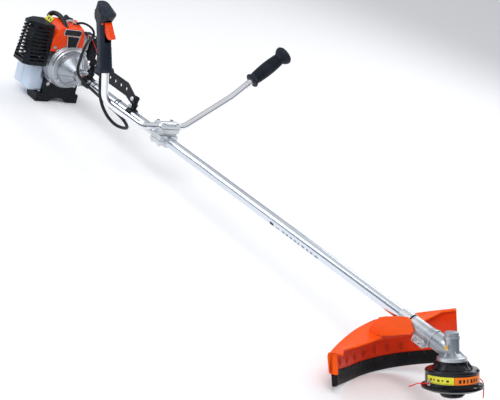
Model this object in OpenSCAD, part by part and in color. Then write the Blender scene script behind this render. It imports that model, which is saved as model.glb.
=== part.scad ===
// Petrol string trimmer with two-sided handlebars and a bump-feed line head.
// Every sub-part is drawn with the shaft lying along X: the crossing of the gear case's two shafts
// is the zero point, +X points past the head, +Y is the operator's left, +Z is up. The whole machine
// is then tipped a little, so that it lies on its engine stand and on the rear of the guard's skirt.

/* [Shaft tube] */
// Outside diameter of the shaft tube
tube_d = 28; // [27:0.5:28]
// Wall thickness of the shaft tube
tube_wall = 1.5; // [1:0.25:2]
// Distance from the gear crossing back to the nose of the clutch housing
tube_run = 1530; // [1400:10:1600]
// Diameter of the drive shaft
drive_d = 8; // [7:0.5:8]

/* [Line head] */
// Angle between the output shaft and the shaft's normal
head_tilt = 27; // [25:0.5:28]
// Radius of the head's upper housing
head_r = 55; // [54:0.5:57]
// Radius of the head's lower flange
flange_r = 64; // [62:1:68]
// Radius of the bump knob
knob_r = 25; // [22:1:25]
// Upward travel of the bump knob
knob_travel = 5; // [3:0.5:5]

/* [Guard] */
// Radius of the guard's outer wall about the output shaft
guard_r = 237; // [225:1:245]
// Half of the angle that the guard spans
guard_half = 50; // [44:1:54]
// Turn of the guard about the output shaft, towards the operator's left
guard_yaw = -6; // [-8:1:0]
// Roll of the guard about the shaft tube
guard_roll = 4; // [0:0.5:5]

/* [Handlebars] */
// Distance from the gear crossing back to the handlebar
bar_run = 1070; // [1000:5:1100]
// Outside diameter of the handlebar tubes
bar_d = 19; // [18:0.5:19]

/* [Throttle] */
// Length of the throttle grip from its lower flange to its head
grip_len = 180; // [178:1:184]

/* [Engine] */
// Radius of the fan housing
fan_r = 70; // [69:0.5:72]
// Bore radius of the cylinder
bore_r = 20; // [19:0.5:20]
// Crank throw
throw = 16; // [15:0.5:16]
// Depth of the engine stand below the shaft axis
stand_depth = 126; // [124:1:132]

/* [Hidden] */
$fn = 48;
eps = 0.01;
tube_r = tube_d / 2;
tube_in = tube_r - tube_wall;
drive_r = drive_d / 2;
bar_r = bar_d / 2;
fit = 0.05;

// Lowest points of the guard's skirt and of the engine stand, which the machine lies on
skirt_low = 76;
skirt_rear_x = -guard_r * cos(head_tilt) + skirt_low * sin(head_tilt);
skirt_rear_z = -guard_r * sin(head_tilt) - skirt_low * cos(head_tilt);
stand_x = -tube_run - 114;
pitch = atan((-skirt_rear_z - stand_depth) / (skirt_rear_x - stand_x));
rest_h = -skirt_rear_z * cos(pitch) - skirt_rear_x * sin(pitch) - 0.6;

// Middle of the machine's box, so that the row's origin is below its centre
mid_x = -827;
mid_y = 60;

// ---------------------------------------------------------------- frames and helpers

function unit(v) = v / norm(v);

// A frame with the given origin whose z axis is along and whose x axis is nearest to forward
function frame(origin, along, forward) =
    let (z = unit(along), y = unit(cross(z, forward)), x = cross(y, z))
    [[x[0], y[0], z[0], origin[0]], [x[1], y[1], z[1], origin[1]],
     [x[2], y[2], z[2], origin[2]], [0, 0, 0, 1]];

module at_rest() translate([-mid_x, -mid_y, rest_h]) rotate([0, -pitch, 0]) children();
// Everything that is under the surface the machine lies on, in the shaft's frame
module ground() rotate([0, pitch, 0]) translate([-2200, -800, -rest_h - 300]) cube([3000, 1600, 300]);
// z along the output shaft, up through the gear case
module on_head() rotate([0, -head_tilt, 0]) children();
// z along the shaft, from the head towards the engine
module rearward() rotate([0, -90, 0]) children();
module at_engine() translate([-tube_run, 0, 0]) children();
// z rearwards along the crank axis, starting at the clutch housing's nose, and x up
module on_crank() at_engine() rearward() children();

module ring(r_out, r_in, h) difference() {
    cylinder(r = r_out, h = h);
    translate([0, 0, -1]) cylinder(r = r_in, h = h + 2);
}
module box(low, high) translate(low) cube(high - low);
// Socket-head screw along +z with its head's underside at zero
module screw(r, len, head_r, head_h) {
    translate([0, 0, -len]) cylinder(r = r, h = len);
    difference() {
        cylinder(r = head_r, h = head_h);
        translate([0, 0, head_h / 2]) cylinder(r = head_r / 2, h = head_h, $fn = 6);
    }
}
module rounded_block(size, r) hull()
    for (x = [r, size[0] - r], y = [r, size[1] - r], z = [r, size[2] - r])
        translate([x, y, z]) sphere(r = r, $fn = 16);

// Centre line through the points, with straight runs joined by circular bends of one radius
function bend_angle(p, i) = acos(unit(p[i] - p[i - 1]) * unit(p[i + 1] - p[i]));
function bend_cut(p, i, bend) = bend * tan(bend_angle(p, i) / 2);
function bend_points(p, i, bend) = let (u = unit(p[i] - p[i - 1]), n = unit(cross(u, unit(p[i + 1] - p[i]))),
        x = cross(n, u), start = p[i] - u * bend_cut(p, i, bend), steps = ceil(bend_angle(p, i) / 6))
    [for (k = [0 : steps]) let (t = bend_angle(p, i) * k / steps) start + bend * (sin(t) * u + (1 - cos(t)) * x)];
function bent_line(p, bend) = concat([p[0]],
    [for (i = [1 : len(p) - 2]) each bend_points(p, i, bend)], [p[len(p) - 1]]);

// A reference direction across the line at each point, carried on so that a tube doesn't twist
function line_tangent(p) = [for (i = [0 : len(p) - 1]) unit(p[min(i + 1, len(p) - 1)] - p[max(i - 1, 0)])];
function line_side(t) = [for (i = 0, s = unit(cross(t[0], [0.3, 0.9, 0.2])); i < len(t);
    i = i + 1, s = i < len(t) ? unit(s - (s * t[i]) * t[i]) : s) s];
function tube_points(p, r, sides) = let (t = line_tangent(p), s = line_side(t))
    [for (i = [0 : len(p) - 1], k = [0 : sides - 1]) let (a = 360 * k / sides)
        p[i] + r * (cos(a) * s[i] + sin(a) * cross(t[i], s[i]))];
// Hollow tube along the points
module swept_pipe(p, r, r_in, sides) {
    n = len(p);
    m = n * sides;
    walls = [for (i = [0 : n - 2], k = [0 : sides - 1]) let (k2 = (k + 1) % sides,
        a = i * sides + k, b = (i + 1) * sides + k, c = (i + 1) * sides + k2, d = i * sides + k2)
        each [[a, b, c], [a, c, d], [m + a, m + c, m + b], [m + a, m + d, m + c]]];
    ends = [for (k = [0 : sides - 1]) let (k2 = (k + 1) % sides, e = (n - 1) * sides)
        each [[k, k2, m + k2], [k, m + k2, m + k], [e + k, m + e + k, m + e + k2], [e + k, m + e + k2, e + k2]]];
    polyhedron(concat(tube_points(p, r, sides), tube_points(p, r_in, sides)), concat(walls, ends));
}

// Smooth closed tube swept along points, for cables and hoses
function mix3(a, b, c, d, t) = 0.5 * ((2 * b) + (c - a) * t + (2 * a - 5 * b + 4 * c - d) * t * t
    + (3 * b - a - 3 * c + d) * t * t * t);
function smooth(p, steps) = [for (i = [0 : len(p) - 2], s = [0 : steps - 1])
    mix3(p[max(i - 1, 0)], p[i], p[i + 1], p[min(i + 2, len(p) - 1)], s / steps), p[len(p) - 1]];
module swept_tube(p, r, sides) {
    n = len(p);
    walls = [for (i = [0 : n - 2], k = [0 : sides - 1]) let (k2 = (k + 1) % sides)
        [i * sides + k, (i + 1) * sides + k, (i + 1) * sides + k2, i * sides + k2]];
    caps = [[for (k = [0 : sides - 1]) k], [for (k = [sides - 1 : -1 : 0]) (n - 1) * sides + k]];
    polyhedron(tube_points(p, r, sides), concat(walls, caps));
}

// ---------------------------------------------------------------- shaft tube and drive

neck_start = 60;
tube_front = neck_start + 2;
tube_back = tube_run + 20;
bushing_runs = [250, 550, 850, 1150, 1430];
bushing_len = 24;
drive_start = 13;

module main_tube() color([0.80, 0.81, 0.83]) translate([-tube_front, 0, 0]) rearward()
    ring(tube_r, tube_in, tube_back - tube_front);

module shaft_bushings() color([0.15, 0.15, 0.16]) for (x = bushing_runs)
    translate([-x, 0, 0]) rearward() ring(tube_in, drive_r + fit, bushing_len);

module drive_shaft() color([0.6, 0.6, 0.62]) translate([-drive_start, 0, 0]) rearward()
    cylinder(r = drive_r, h = tube_run + 44 - drive_start);

// ---------------------------------------------------------------- bevel gears

pinion_teeth = 12;
crown_teeth = 15;
cone_len = 20;
face_w = 6.5;
shaft_angle = 90 - head_tilt;
pinion_cone = atan(sin(shaft_angle) / (crown_teeth / pinion_teeth + cos(shaft_angle)));
crown_cone = shaft_angle - pinion_cone;
tooth_h = 0.8;
root_h = 1.25;

// Straight bevel gear with its apex at zero and its teeth opening along +z
module bevel_gear(teeth, cone, first) {
    r = cone_len * sin(cone);
    top = cone_len * cos(cone);
    scale_in = (cone_len - face_w) / cone_len;
    step = 360 / teeth;
    profile = [for (i = [0 : teeth - 1], c = [[-0.5, -root_h], [-0.27, -root_h], [-0.10, tooth_h],
        [0.10, tooth_h], [0.27, -root_h]])
        let (a = first + step * (i + c[0]), q = r + c[1]) q * [cos(a), sin(a)]];
    translate([0, 0, top]) mirror([0, 0, 1])
        linear_extrude(height = top * (1 - scale_in), scale = scale_in) polygon(profile);
}

module pinion_gear() color([0.45, 0.45, 0.47]) {
    rearward() difference() {
        union() {
            bevel_gear(pinion_teeth, pinion_cone, 0);
            translate([0, 0, cone_len * cos(pinion_cone) - eps]) cylinder(r = 7.5, h = 6);
        }
        cylinder(r = drive_r, h = 40);
    }
}

module crown_gear() color([0.45, 0.45, 0.47]) on_head() difference() {
    union() {
        bevel_gear(crown_teeth, crown_cone, 180 + 180 / crown_teeth);
        translate([0, 0, cone_len * cos(crown_cone) - eps]) cylinder(r = 9, h = 3);
    }
    cylinder(r = 5, h = 40);
}

out_top = 35.5;
out_bottom = -62;
module output_shaft() color([0.6, 0.6, 0.62]) on_head() {
    translate([0, 0, out_bottom]) cylinder(r = 5, h = out_top - out_bottom);
}

case_cavity_r = 13.6;
case_top = 42;
case_flange_top = -8;
case_flange_low = -18;
case_flange_r = 31;
neck_r = 18;
body_r = 20;
module case_outside() {
    on_head() {
        translate([0, 0, case_flange_top]) cylinder(r = 15.6, h = case_top - 12 - case_flange_top);
        translate([0, 0, 28]) cylinder(r = 16.6, h = 3);
        translate([0, 0, 31]) cylinder(r1 = 15, r2 = 14.6, h = 9);
        translate([0, 0, 40]) cylinder(r1 = 14.6, r2 = 12, h = 2);
        translate([0, 0, case_flange_low]) cylinder(r = case_flange_r, h = 7);
        translate([0, 0, case_flange_low + 7]) cylinder(r1 = case_flange_r, r2 = 26, h = 3);
        translate([0, 0, case_flange_low + 9.9]) cylinder(r1 = 26, r2 = 15.6, h = 6);
    }
    rearward() {
        translate([0, 0, 2]) cylinder(r1 = 15, r2 = body_r, h = 20);
        translate([0, 0, 22]) cylinder(r = body_r, h = 24);
        translate([0, 0, 46]) cylinder(r = body_r + 1.4, h = 3);
        translate([0, 0, 49]) cylinder(r1 = body_r, r2 = neck_r, h = 14);
        translate([0, 0, 63]) cylinder(r = neck_r, h = 47);
    }
    // Clamping lug under the split neck
    box([-92, -13, -30], [-60, -4, -8]);
    box([-92, -1.5, -30], [-60, 8, -8]);
}
module gear_case() color([0.66, 0.68, 0.71]) difference() {
    case_outside();
    on_head() {
        // Gear chamber, upper bearing seat, lower bearing seat and seal bore
        translate([0, 0, -6]) cylinder(r = case_cavity_r, h = 32);
        translate([0, 0, 26 - eps]) cylinder(r = 11, h = 10);
        translate([0, 0, -14]) cylinder(r = 13, h = 9);
        translate([0, 0, -19]) cylinder(r = 7.5, h = 10);
    }
    rearward() {
        translate([0, 0, 8]) cylinder(r = 11.6, h = 16);
        translate([0, 0, 24 - eps]) cylinder(r = 11, h = 16);
        translate([0, 0, 40 - eps]) cylinder(r = 8, h = 22);
        translate([0, 0, neck_start]) cylinder(r = tube_r + 0.02, h = 60);
    }
    // Split of the clamp, between the two lugs
    box([-111, -4, -31], [-neck_start, -1.5, -10]);
    for (x = [-68, -84]) translate([x, -20, -22]) rotate([-90, 0, 0]) cylinder(r = 2.6, h = 40);
    // Grease hole
    on_head() translate([0, 0, 10]) rotate([90, 0, 0]) cylinder(r = 3, h = 30);
}
module gear_case_bolts() color([0.75, 0.75, 0.77]) {
    for (x = [-68, -84]) translate([x, -13, -22]) rotate([90, 0, 0]) screw(2.5, 21, 4.5, 5);
    on_head() translate([0, -17.6, 10]) rotate([90, 0, 0]) {
        translate([0, 0, -3.4]) cylinder(r = 2.95, h = 3.4);
        cylinder(r = 4.6, h = 2.6, $fn = 6);
    }
}

// Ball bearings drawn as plain rings: two on the pinion, two on the output shaft, one at the clutch
module bearings() color([0.55, 0.56, 0.58]) {
    rearward() {
        for (z = [24.2, 32.4]) translate([0, 0, z]) ring(11, drive_r + fit, 7.4);
    }
    on_head() {
        translate([0, 0, 27]) ring(11, 5 + fit, 8);
        translate([0, 0, -13.9]) ring(13, 5 + fit, 7.8);
    }
    on_crank() translate([0, 0, 24]) ring(14, 7 + fit, 9);
}

// ---------------------------------------------------------------- line head

collar_top = -18.6;
collar_low = -33;
head_top = -33.4;
head_wall = 3;
head_low = -67;
base_low = -77;
cavity_top = -38;

module head_adapter() color([0.08, 0.08, 0.09]) on_head() difference() {
    union() {
        translate([0, 0, collar_low]) cylinder(r1 = 42, r2 = 33, h = 9);
        translate([0, 0, collar_low + 9]) cylinder(r = 33, h = 5.4);
    }
    cylinder(r = 5, h = 80, center = true);
    translate([0, 0, collar_low - 1]) cylinder(r = 28, h = 7);
}
module head_housing() color([0.07, 0.08, 0.10]) on_head() difference() {
    union() {
        translate([0, 0, head_low]) cylinder(r = head_r, h = head_top - head_low - 3);
        translate([0, 0, head_top - 3]) cylinder(r1 = head_r, r2 = head_r - 3, h = 3);
    }
    // Spool chamber with a centre boss left in it
    difference() {
        translate([0, 0, head_low - 1]) cylinder(r = head_r - head_wall, h = cavity_top - head_low + 1);
        translate([0, 0, cavity_top - 20]) cylinder(r = 9, h = 21);
    }
    translate([0, 0, -63]) cylinder(r = 5, h = 40);
    for (a = [0, 180]) rotate([0, 0, a + 70]) translate([0, 0, -60]) rotate([0, 90, 0])
        cylinder(r = 4.5, h = 80);
}
module line_eyelets() color([0.72, 0.73, 0.75]) on_head()
    for (a = [0, 180]) rotate([0, 0, a + 70]) translate([head_r - 3.5, 0, -60]) rotate([0, 90, 0]) {
        ring(4.45, 2.2, 4.5);
        translate([0, 0, 4.2]) ring(6.5, 2.2, 1.6);
    }
module head_base() color([0.07, 0.08, 0.10]) on_head() difference() {
    union() {
        translate([0, 0, base_low + 5]) cylinder(r = flange_r, h = 4.7);
        translate([0, 0, base_low]) cylinder(r1 = flange_r - 10, r2 = flange_r, h = 5);
    }
    // Opening for the bump knob, and the dished inside
    translate([0, 0, base_low - 1]) cylinder(r = knob_r + 1, h = 20);
    translate([0, 0, base_low + 5]) cylinder(r = head_r - head_wall - 1, h = 10);
}
module line_spool() color([0.12, 0.12, 0.13]) on_head() difference() {
    union() {
        translate([0, 0, -70.5]) cylinder(r = 46, h = 2);
        translate([0, 0, -70.5]) cylinder(r = 22, h = 24);
        translate([0, 0, -48.5]) cylinder(r = 46, h = 2);
    }
    translate([0, 0, -80]) cylinder(r = 10.2, h = 60);
    translate([0, 0, -56]) cylinder(r = 17, h = 20);
}
module wound_line() color([0.85, 0.12, 0.10]) on_head() translate([0, 0, -68.3]) ring(38, 22.1, 19.6);
module feed_spring() color([0.7, 0.7, 0.72]) on_head() translate([0, 0, -56]) ring(14, 12, 17.8);
module bump_knob() color([0.06, 0.07, 0.09]) on_head() {
    rotate_extrude() polygon([[0, -71], [knob_r, -71], [knob_r, -88],
        [knob_r - 3, -92], [knob_r - 10, -94], [0, -94]]);
}

// Nylon line ends, from each eyelet outwards
left_line = [[0, 56, -60], [0, 66, -60], [3, 74, -59], [6, 83, -60], [8, 91, -63], [8, 99, -64]];
right_line = [[0, 56, -60], [0, 66, -61], [-2, 75, -66], [-4, 81, -75], [-5, 82, -88], [-4, 80, -104]];
line_r = 1.2;
module line_turn(a) on_head() rotate([0, 0, a]) rotate([0, 0, -90]) children();
module trimmer_line() color([0.88, 0.10, 0.10]) {
    line_turn(250) swept_tube(smooth(left_line, 2), line_r, 8);
    line_turn(70) swept_tube(smooth(right_line, 2), line_r, 8);
}

// ---------------------------------------------------------------- guard

guard_t = 3;
crease = -3;
// The guard stops a little sooner at the operator's right
guard_near = 48;
module on_guard() rotate([guard_roll, 0, 0]) on_head() rotate([0, 0, 180 + guard_yaw]) children();
// Height of the roof's outer edge at angle a from the guard's middle; the operator's right is +a
function roof_z(a) = a > 0 ? 41 - 0.7 * a : 41 + 0.0036 * a * a;
// The roof's inner edge is a straight chord, and the roof falls towards it
function roof_in(a) = min(guard_r - 14, 166 / cos(a));
roof_fall = 0.25;
// Beyond 20 degrees on the operator's right the wall swings outwards and gets shorter
function swing(a) = pow(max(0, a - 20), 2);
function wall_r(a) = guard_r + 0.02 * swing(a);
function wall_low(a) = -52 + 0.0165 * swing(a);
function skirt_foot(a) = -skirt_low + 0.011 * swing(a);
// Narrow turned-out rim at both ends
function guard_lip(a) = a > guard_near - 2.5 || a < 4 - guard_half ? 5 : 0;
// Closed outline of the guard's wall and roof at angle a, as [radius, height]
function guard_outline(a) = let (z = roof_z(a), ri = roof_in(a), lip = guard_lip(a), r = wall_r(a),
        low = wall_low(a), bend = min(crease, z - 12), zi = z - roof_fall * (r - 5 - ri)) [
    [ri, zi], [r - 5, z], [r + lip, z - 4], [r - 6 + lip, bend], [r - 3 + lip, bend - 3], [r - 2 + lip, low],
    [r - 2 - guard_t, low], [r - 3 - guard_t, bend - 4], [r - 6 - guard_t, bend],
    [r - 5 - guard_t, z - guard_t - 3], [r - 10, z - guard_t - 1.5], [ri, zi - guard_t]];
module swept_outline(angles, outlines) {
    m = len(outlines[0]);
    n = len(angles);
    points = [for (i = [0 : n - 1], q = outlines[i]) [q[0] * cos(angles[i]), q[0] * sin(angles[i]), q[1]]];
    walls = [for (i = [0 : n - 2], k = [0 : m - 1]) let (k2 = (k + 1) % m)
        each [[i * m + k, (i + 1) * m + k2, i * m + k2], [i * m + k, (i + 1) * m + k, (i + 1) * m + k2]]];
    caps = [[for (k = [0 : m - 1]) k], [for (k = [m - 1 : -1 : 0]) (n - 1) * m + k]];
    polyhedron(points, concat(walls, caps));
}
guard_angles = [for (i = [0 : 42]) -guard_half + (guard_half + guard_near) * i / 42];
rib_step = 9;

module guard() color([0.94, 0.25, 0.05]) on_guard() difference() {
    union() {
        swept_outline(guard_angles, [for (a = guard_angles) guard_outline(a)]);
        // Raised channel that carries the roof forward to the bracket
        box([neck_in, -24, 39], [guard_r - 9.5, 24, 42]);
        for (y = [-24, 21]) box([170, y, 22], [guard_r - 9.5, y + 3, 42]);
        // Low ribs in the lower part of the wall
        for (i = [-3 : 4]) let (a = i * rib_step + 1) rotate([0, 0, a])
            box([wall_r(a) - 9, -1.2, wall_low(a) + 8.5], [wall_r(a) - 4, 1.2, -14]);
    }
    for (x = guard_holes, y = [-17, 17]) translate([x, y, 30]) cylinder(r = 3.1, h = 20);
}

skirt_angles = [for (i = [0 : 42]) 1 - guard_half + (guard_half + guard_near - 2) * i / 42];
function skirt_outline(a) = let (r = wall_r(a), low = wall_low(a), foot = skirt_foot(a)) [
    [r - 7.9, low + 8], [r - 5.5, low + 8], [r - 5.5, low - 0.2], [r, low - 0.2], [r - 2, foot],
    [r - 5, foot], [r - 5, low - 3], [r - 7.9, low - 3]];
module guard_skirt() color([0.06, 0.06, 0.07]) difference() {
    on_guard() swept_outline(skirt_angles, [for (a = skirt_angles) skirt_outline(a)]);
    ground();
}
module line_cutter() color([0.7, 0.71, 0.73]) on_guard() rotate([0, 0, -44]) {
    box([guard_r - 15, -16, -74], [guard_r - 13.4, 16, -56]);
    box([guard_r - 15, -16, -57.6], [guard_r - 6.2, 16, -56]);
}

// Bracket: a block round the tube with a slot that takes the guard's neck
bracket_x = 128;
neck_in = 118;
guard_holes = [126, 142];
module guard_bracket() color([0.62, 0.64, 0.67]) difference() {
    union() {
        translate([-bracket_x + 14, 0, 0]) rearward() cylinder(r = tube_r + 5, h = 28);
        on_guard() box([112, -24, 36.2], [148, 24, 50]);
    }
    rearward() cylinder(r = tube_r + 0.02, h = 300);
    on_guard() box([neck_in - 0.5, -40, 38.8], [170, 40, 42.2]);
    on_guard() for (x = guard_holes, y = [-17, 17]) translate([x, y, 30]) cylinder(r = 3.1, h = 21);
}
module guard_bolts() color([0.75, 0.76, 0.78]) on_guard()
    for (x = guard_holes, y = [-17, 17]) translate([x, y, 36]) mirror([0, 0, 1]) screw(3, 11.5, 5, 4);

// ---------------------------------------------------------------- handlebar clamp and bars

bar_z = 35;
clamp_len = 44;
clamp_w = 60;
clamp_x = -bar_run;
bolt_xs = [-15.5, 15.5];
module clamp_block_box(z0, z1) box([clamp_x - clamp_len / 2, -clamp_w / 2, z0],
    [clamp_x + clamp_len / 2, clamp_w / 2, z1]);
module clamp_bores() {
    translate([clamp_x + 60, 0, 0]) rearward() cylinder(r = tube_r + 0.02, h = 120);
    translate([clamp_x, -60, bar_z]) rotate([-90, 0, 0]) cylinder(r = bar_r + 0.02, h = 120);
    for (x = bolt_xs, y = [-23, 23]) translate([clamp_x + x, y, -40]) cylinder(r = 3.05, h = 100);
}
module clamp_bottom() color([0.66, 0.68, 0.71]) difference() {
    union() {
        intersection() {
            clamp_block_box(-tube_r - 6, -1);
            translate([clamp_x + 30, 0, 0]) rearward() cylinder(r = tube_r + 6, h = 60);
        }
        clamp_block_box(-12, -1);
    }
    clamp_bores();
}
module clamp_block() color([0.66, 0.68, 0.71]) difference() {
    union() {
        clamp_block_box(0, 14);
        box([clamp_x - 18, -26, 13], [clamp_x + 18, 26, 24]);
        clamp_block_box(23, bar_z - 0.8);
    }
    clamp_bores();
}
module clamp_top() color([0.66, 0.68, 0.71]) difference() {
    union() {
        intersection() {
            clamp_block_box(bar_z + 0.8, bar_z + bar_r + 5);
            translate([clamp_x, -50, bar_z]) rotate([-90, 0, 0]) cylinder(r = bar_r + 5, h = 100);
        }
        clamp_block_box(bar_z + 0.8, bar_z + 7);
    }
    clamp_bores();
    // Seats for the bolt heads
    for (x = bolt_xs, y = [-23, 23]) translate([clamp_x + x, y, bar_z + 7]) cylinder(r = 5.4, h = 20);
}
module clamp_bolts() color([0.78, 0.79, 0.81]) for (x = bolt_xs, y = [-23, 23])
    translate([clamp_x + x, y, bar_z + 7]) {
        screw(3, bar_z + 7 + 16, 5, 6);
        translate([0, 0, -bar_z - 7 - 17]) cylinder(r = 5.5, h = 5, $fn = 6);
    }

bar_bend = 45;
right_route = [[clamp_x, -2, bar_z], [clamp_x, -96, bar_z], [clamp_x - 18, -214, 94],
    [clamp_x - 27, -227, 167], [clamp_x - 42, -235.7, 222.3]];
left_route = [[clamp_x, 2, bar_z], [clamp_x, 58, bar_z], [clamp_x - 9, 208, 131],
    [clamp_x - 20, 366, 265]];
module bar_tube(p) swept_pipe(bent_line(p, bar_bend), bar_r, bar_r - 1.5, 28);
module right_bar() color([0.85, 0.85, 0.87]) bar_tube(right_route);
module left_bar() color([0.85, 0.85, 0.87]) bar_tube(left_route);

// Rubber grip on the left bar, with a flange at each end
left_dir = unit(left_route[3] - left_route[2]);
module on_left_grip() multmatrix(frame(left_route[3] - 126 * left_dir, left_dir, [1, 0, 0])) children();
module left_grip() color([0.09, 0.10, 0.13]) on_left_grip() difference() {
    rotate_extrude() polygon([[0, 0], [20, 0], [22, 2], [22, 4], [19, 8], [17, 14], [18.5, 30],
        [20, 50], [20.5, 70], [19.5, 90], [17.5, 108], [18, 114], [24, 122], [28, 130], [28, 134],
        [26, 137], [0, 137]]);
    translate([0, 0, -1]) cylinder(r = bar_r + 0.02, h = 127);
}

// ---------------------------------------------------------------- throttle grip

grip_dir = unit(right_route[4] - right_route[3]);
module on_throttle() multmatrix(frame(right_route[3], grip_dir, [1, 0, 0])) children();
module grip_slice(z, x0, x1, w) translate([(x0 + x1) / 2, 0, z])
    linear_extrude(1) offset(r = 13) square([x1 - x0 - 26, w - 26], center = true);
module grip_solid() {
    hull() {
        grip_slice(0, -27, 19, 42);
        grip_slice(8, -25, 17, 40);
    }
    hull() {
        grip_slice(6, -23, 15, 35);
        grip_slice(60, -21, 14, 33);
    }
    hull() {
        grip_slice(60, -21, 14, 33);
        grip_slice(124, -21, 16, 33);
    }
    hull() {
        grip_slice(124, -21, 16, 33);
        grip_slice(140, -23, 27, 40);
        grip_slice(148, -22, 34, 42);
        translate([0, 0, grip_len - 28]) rotate([0, 14, 0]) grip_slice(0, -20, 38, 38);
        translate([0, 0, grip_len - 8]) rotate([0, 28, 0]) grip_slice(0, -16, 16, 30);
    }
}
trigger_z = 124;
module grip_hollows() {
    translate([0, 0, -1]) cylinder(r = bar_r + 0.02, h = 60);
    // Space for the trigger, its linkage, the lockout lever and the switch
    box([-8, -8.2, 76], [32, 8.2, 132]);
    box([-30, -5, 62], [-7, 5, 116]);
    box([-8, -6.5, 76], [-4, 6.5, 116]);
    box([-6, -9, 140], [10, 30, 156]);
    // Cable entry behind the bar
    translate([-18.5, 0, -1]) cylinder(r = 5.6, h = 14);
}
module grip_pin_bores() for (p = [[12, trigger_z], [-12, 66]])
    translate([p[0], -30, p[1]]) rotate([-90, 0, 0]) cylinder(r = 2.05, h = 60);
// Two moulded halves that meet on the grip's middle plane
module throttle_shells() color([0.10, 0.12, 0.16]) on_throttle() difference() {
    grip_solid();
    grip_hollows();
    grip_pin_bores();
    box([-60, -0.1, -10], [90, 0.1, 220]);
}
// Trigger: a curved finger plate on a cross pin at its top
module throttle_trigger() color([0.95, 0.28, 0.06]) on_throttle() {
    translate([0, 7.5, 0]) rotate([90, 0, 0]) linear_extrude(15)
        polygon([[7, 128], [18, 128], [27, 122], [31, 112], [36, 100], [41, 90], [39, 86], [31, 85],
            [22, 90], [16, 100], [11, 112], [6, 118], [5, 124]]);
    translate([12, -15, trigger_z]) rotate([-90, 0, 0]) cylinder(r = 2, h = 30);
}
module lockout_lever() color([0.95, 0.28, 0.06]) on_throttle() {
    translate([0, 4.2, 0]) rotate([90, 0, 0]) linear_extrude(8.4)
        polygon([[-9, 63], [-9, 70], [-14, 84], [-15, 108], [-19, 112], [-23, 108], [-24, 88],
            [-21, 72], [-16, 64]]);
    translate([-12, -13, 66]) rotate([-90, 0, 0]) cylinder(r = 2, h = 26);
}
module stop_switch() color([0.85, 0.10, 0.08]) on_throttle() box([-4, 12, 143], [3, 24, 153]);

// Throttle cable: down beside the bar, back along the shaft, over the clutch to the carburettor
cable_r = 4.6;
cable_route = [[-1117, -228, 170], [-1115, -227, 161], [-1115, -224, 142], [-1116, -217, 116],
    [-1117, -208, 91], [-1117, -196, 69], [-1116, -180, 48], [-1115, -160, 29], [-1117, -134, 13],
    [-1125, -106, 3], [-1143, -78, -5], [-1172, -56, -10], [-1212, -40, -11], [-1260, -31, -10],
    [-1310, -28, -8], [-1360, -27, -4], [-1410, -27, 0], [-1460, -27, 4], [-1496, -27, 10],
    [-1520, -24, 24], [-1536, -14, 44], [-1548, -4, 66], [-1562, 10, 86], [-1584, 32, 99],
    [-1606, 55, 101], [-1622, 69, 96], [-1634, 74, 94], [-1643.6, 74, 94]];
module throttle_cable() color([0.10, 0.11, 0.13]) swept_tube(smooth(cable_route, 2), cable_r, 8);

// ---------------------------------------------------------------- hanger rail

rail_back = 1500;
rail_front = 1228;
rail_low = 38;
rail_high = 76;
rail_t = 2;
hole_step = 30;
hole_first = 1291;
hole_r = 5.2;
clamp_runs = [1240, 1486];
module hanger_rail() color([0.07, 0.08, 0.09]) difference() {
    translate([0, rail_t, 0]) rotate([90, 0, 0]) linear_extrude(2 * rail_t) polygon([
        [-rail_back, rail_low], [-rail_back, rail_high], [-rail_front - 62, rail_high],
        [-rail_front - 4, rail_low + 10], [-rail_front, rail_low + 4], [-rail_front, rail_low - 8],
        [-clamp_runs[0] - 22, rail_low - 8], [-clamp_runs[0] - 44, rail_low]]);
    for (i = [0 : 6]) translate([-hole_first - i * hole_step, -10, (rail_low + rail_high) / 2])
        rotate([-90, 0, 0]) cylinder(r = hole_r, h = 20);
    for (x = clamp_runs) translate([-x, -10, 47]) rotate([-90, 0, 0]) cylinder(r = 2.6, h = 20);
}
// Two rings round the tube, each with two ears that hold the rail between them
module hanger_clamps() color([0.07, 0.08, 0.09]) for (x = clamp_runs) difference() {
    union() {
        translate([-x + 9, 0, 0]) rearward() cylinder(r = tube_r + 5, h = 18);
        for (s = [-1, 1]) box([-x - 9, min(s * 2.1, s * 7), 12], [-x + 9, max(s * 2.1, s * 7), 54]);
        translate([-x, -11, 47]) rotate([-90, 0, 0]) cylinder(r = 4.5, h = 22);
        translate([-x, -11, 26]) rotate([-90, 0, 0]) cylinder(r = 4.5, h = 22);
    }
    translate([-x + 30, 0, 0]) rearward() cylinder(r = tube_r + 0.02, h = 60);
    box([-x - 10, -2.1, 10], [-x + 10, 2.1, 60]);
}

// ---------------------------------------------------------------- clutch

clutch_base = 72;
module clutch_housing() color([0.70, 0.72, 0.75]) difference() {
    on_crank() rotate_extrude($fn = 96) polygon([[tube_r + 0.02, -10], [20, -10], [21, -8], [21, 12],
        [24, 16], [42, 39], [48, 45], [51, 52], [52, 59], [60, 62], [63, 65], [63, clutch_base],
        [45, clutch_base], [45, 50], [34, 38], [14.02, 34], [14.02, 23.8], [10, 23.8], [10, 20.2],
        [tube_r + 0.02, 20.2]]);
    // Split of the nose clamp
    at_engine() box([-14, -1, -30], [12, 1, -13]);
    for (a = [45 : 90 : 315]) on_crank() rotate([0, 0, a]) translate([54, 0, 60])
        cylinder(r = 2.6, h = 20);
}
module clutch_drum() color([0.5, 0.5, 0.52]) on_crank() difference() {
    rotate_extrude($fn = 72) polygon([[drive_r, 24], [7, 24], [7, 40], [38, 46], [38, 66], [36, 66],
        [36, 48.5], [drive_r, 43.5]]);
}
module clutch_shoes() color([0.36, 0.34, 0.33]) on_crank() for (a = [0, 180]) rotate([0, 0, a])
    difference() {
        translate([0, 0, 51]) ring(34.2, 17, 12);
        box([-40, -40, 40], [1.2, 40, 80]);
        translate([26, 0, 40]) cylinder(r = 4, h = 40);
    }

// ---------------------------------------------------------------- engine

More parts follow.
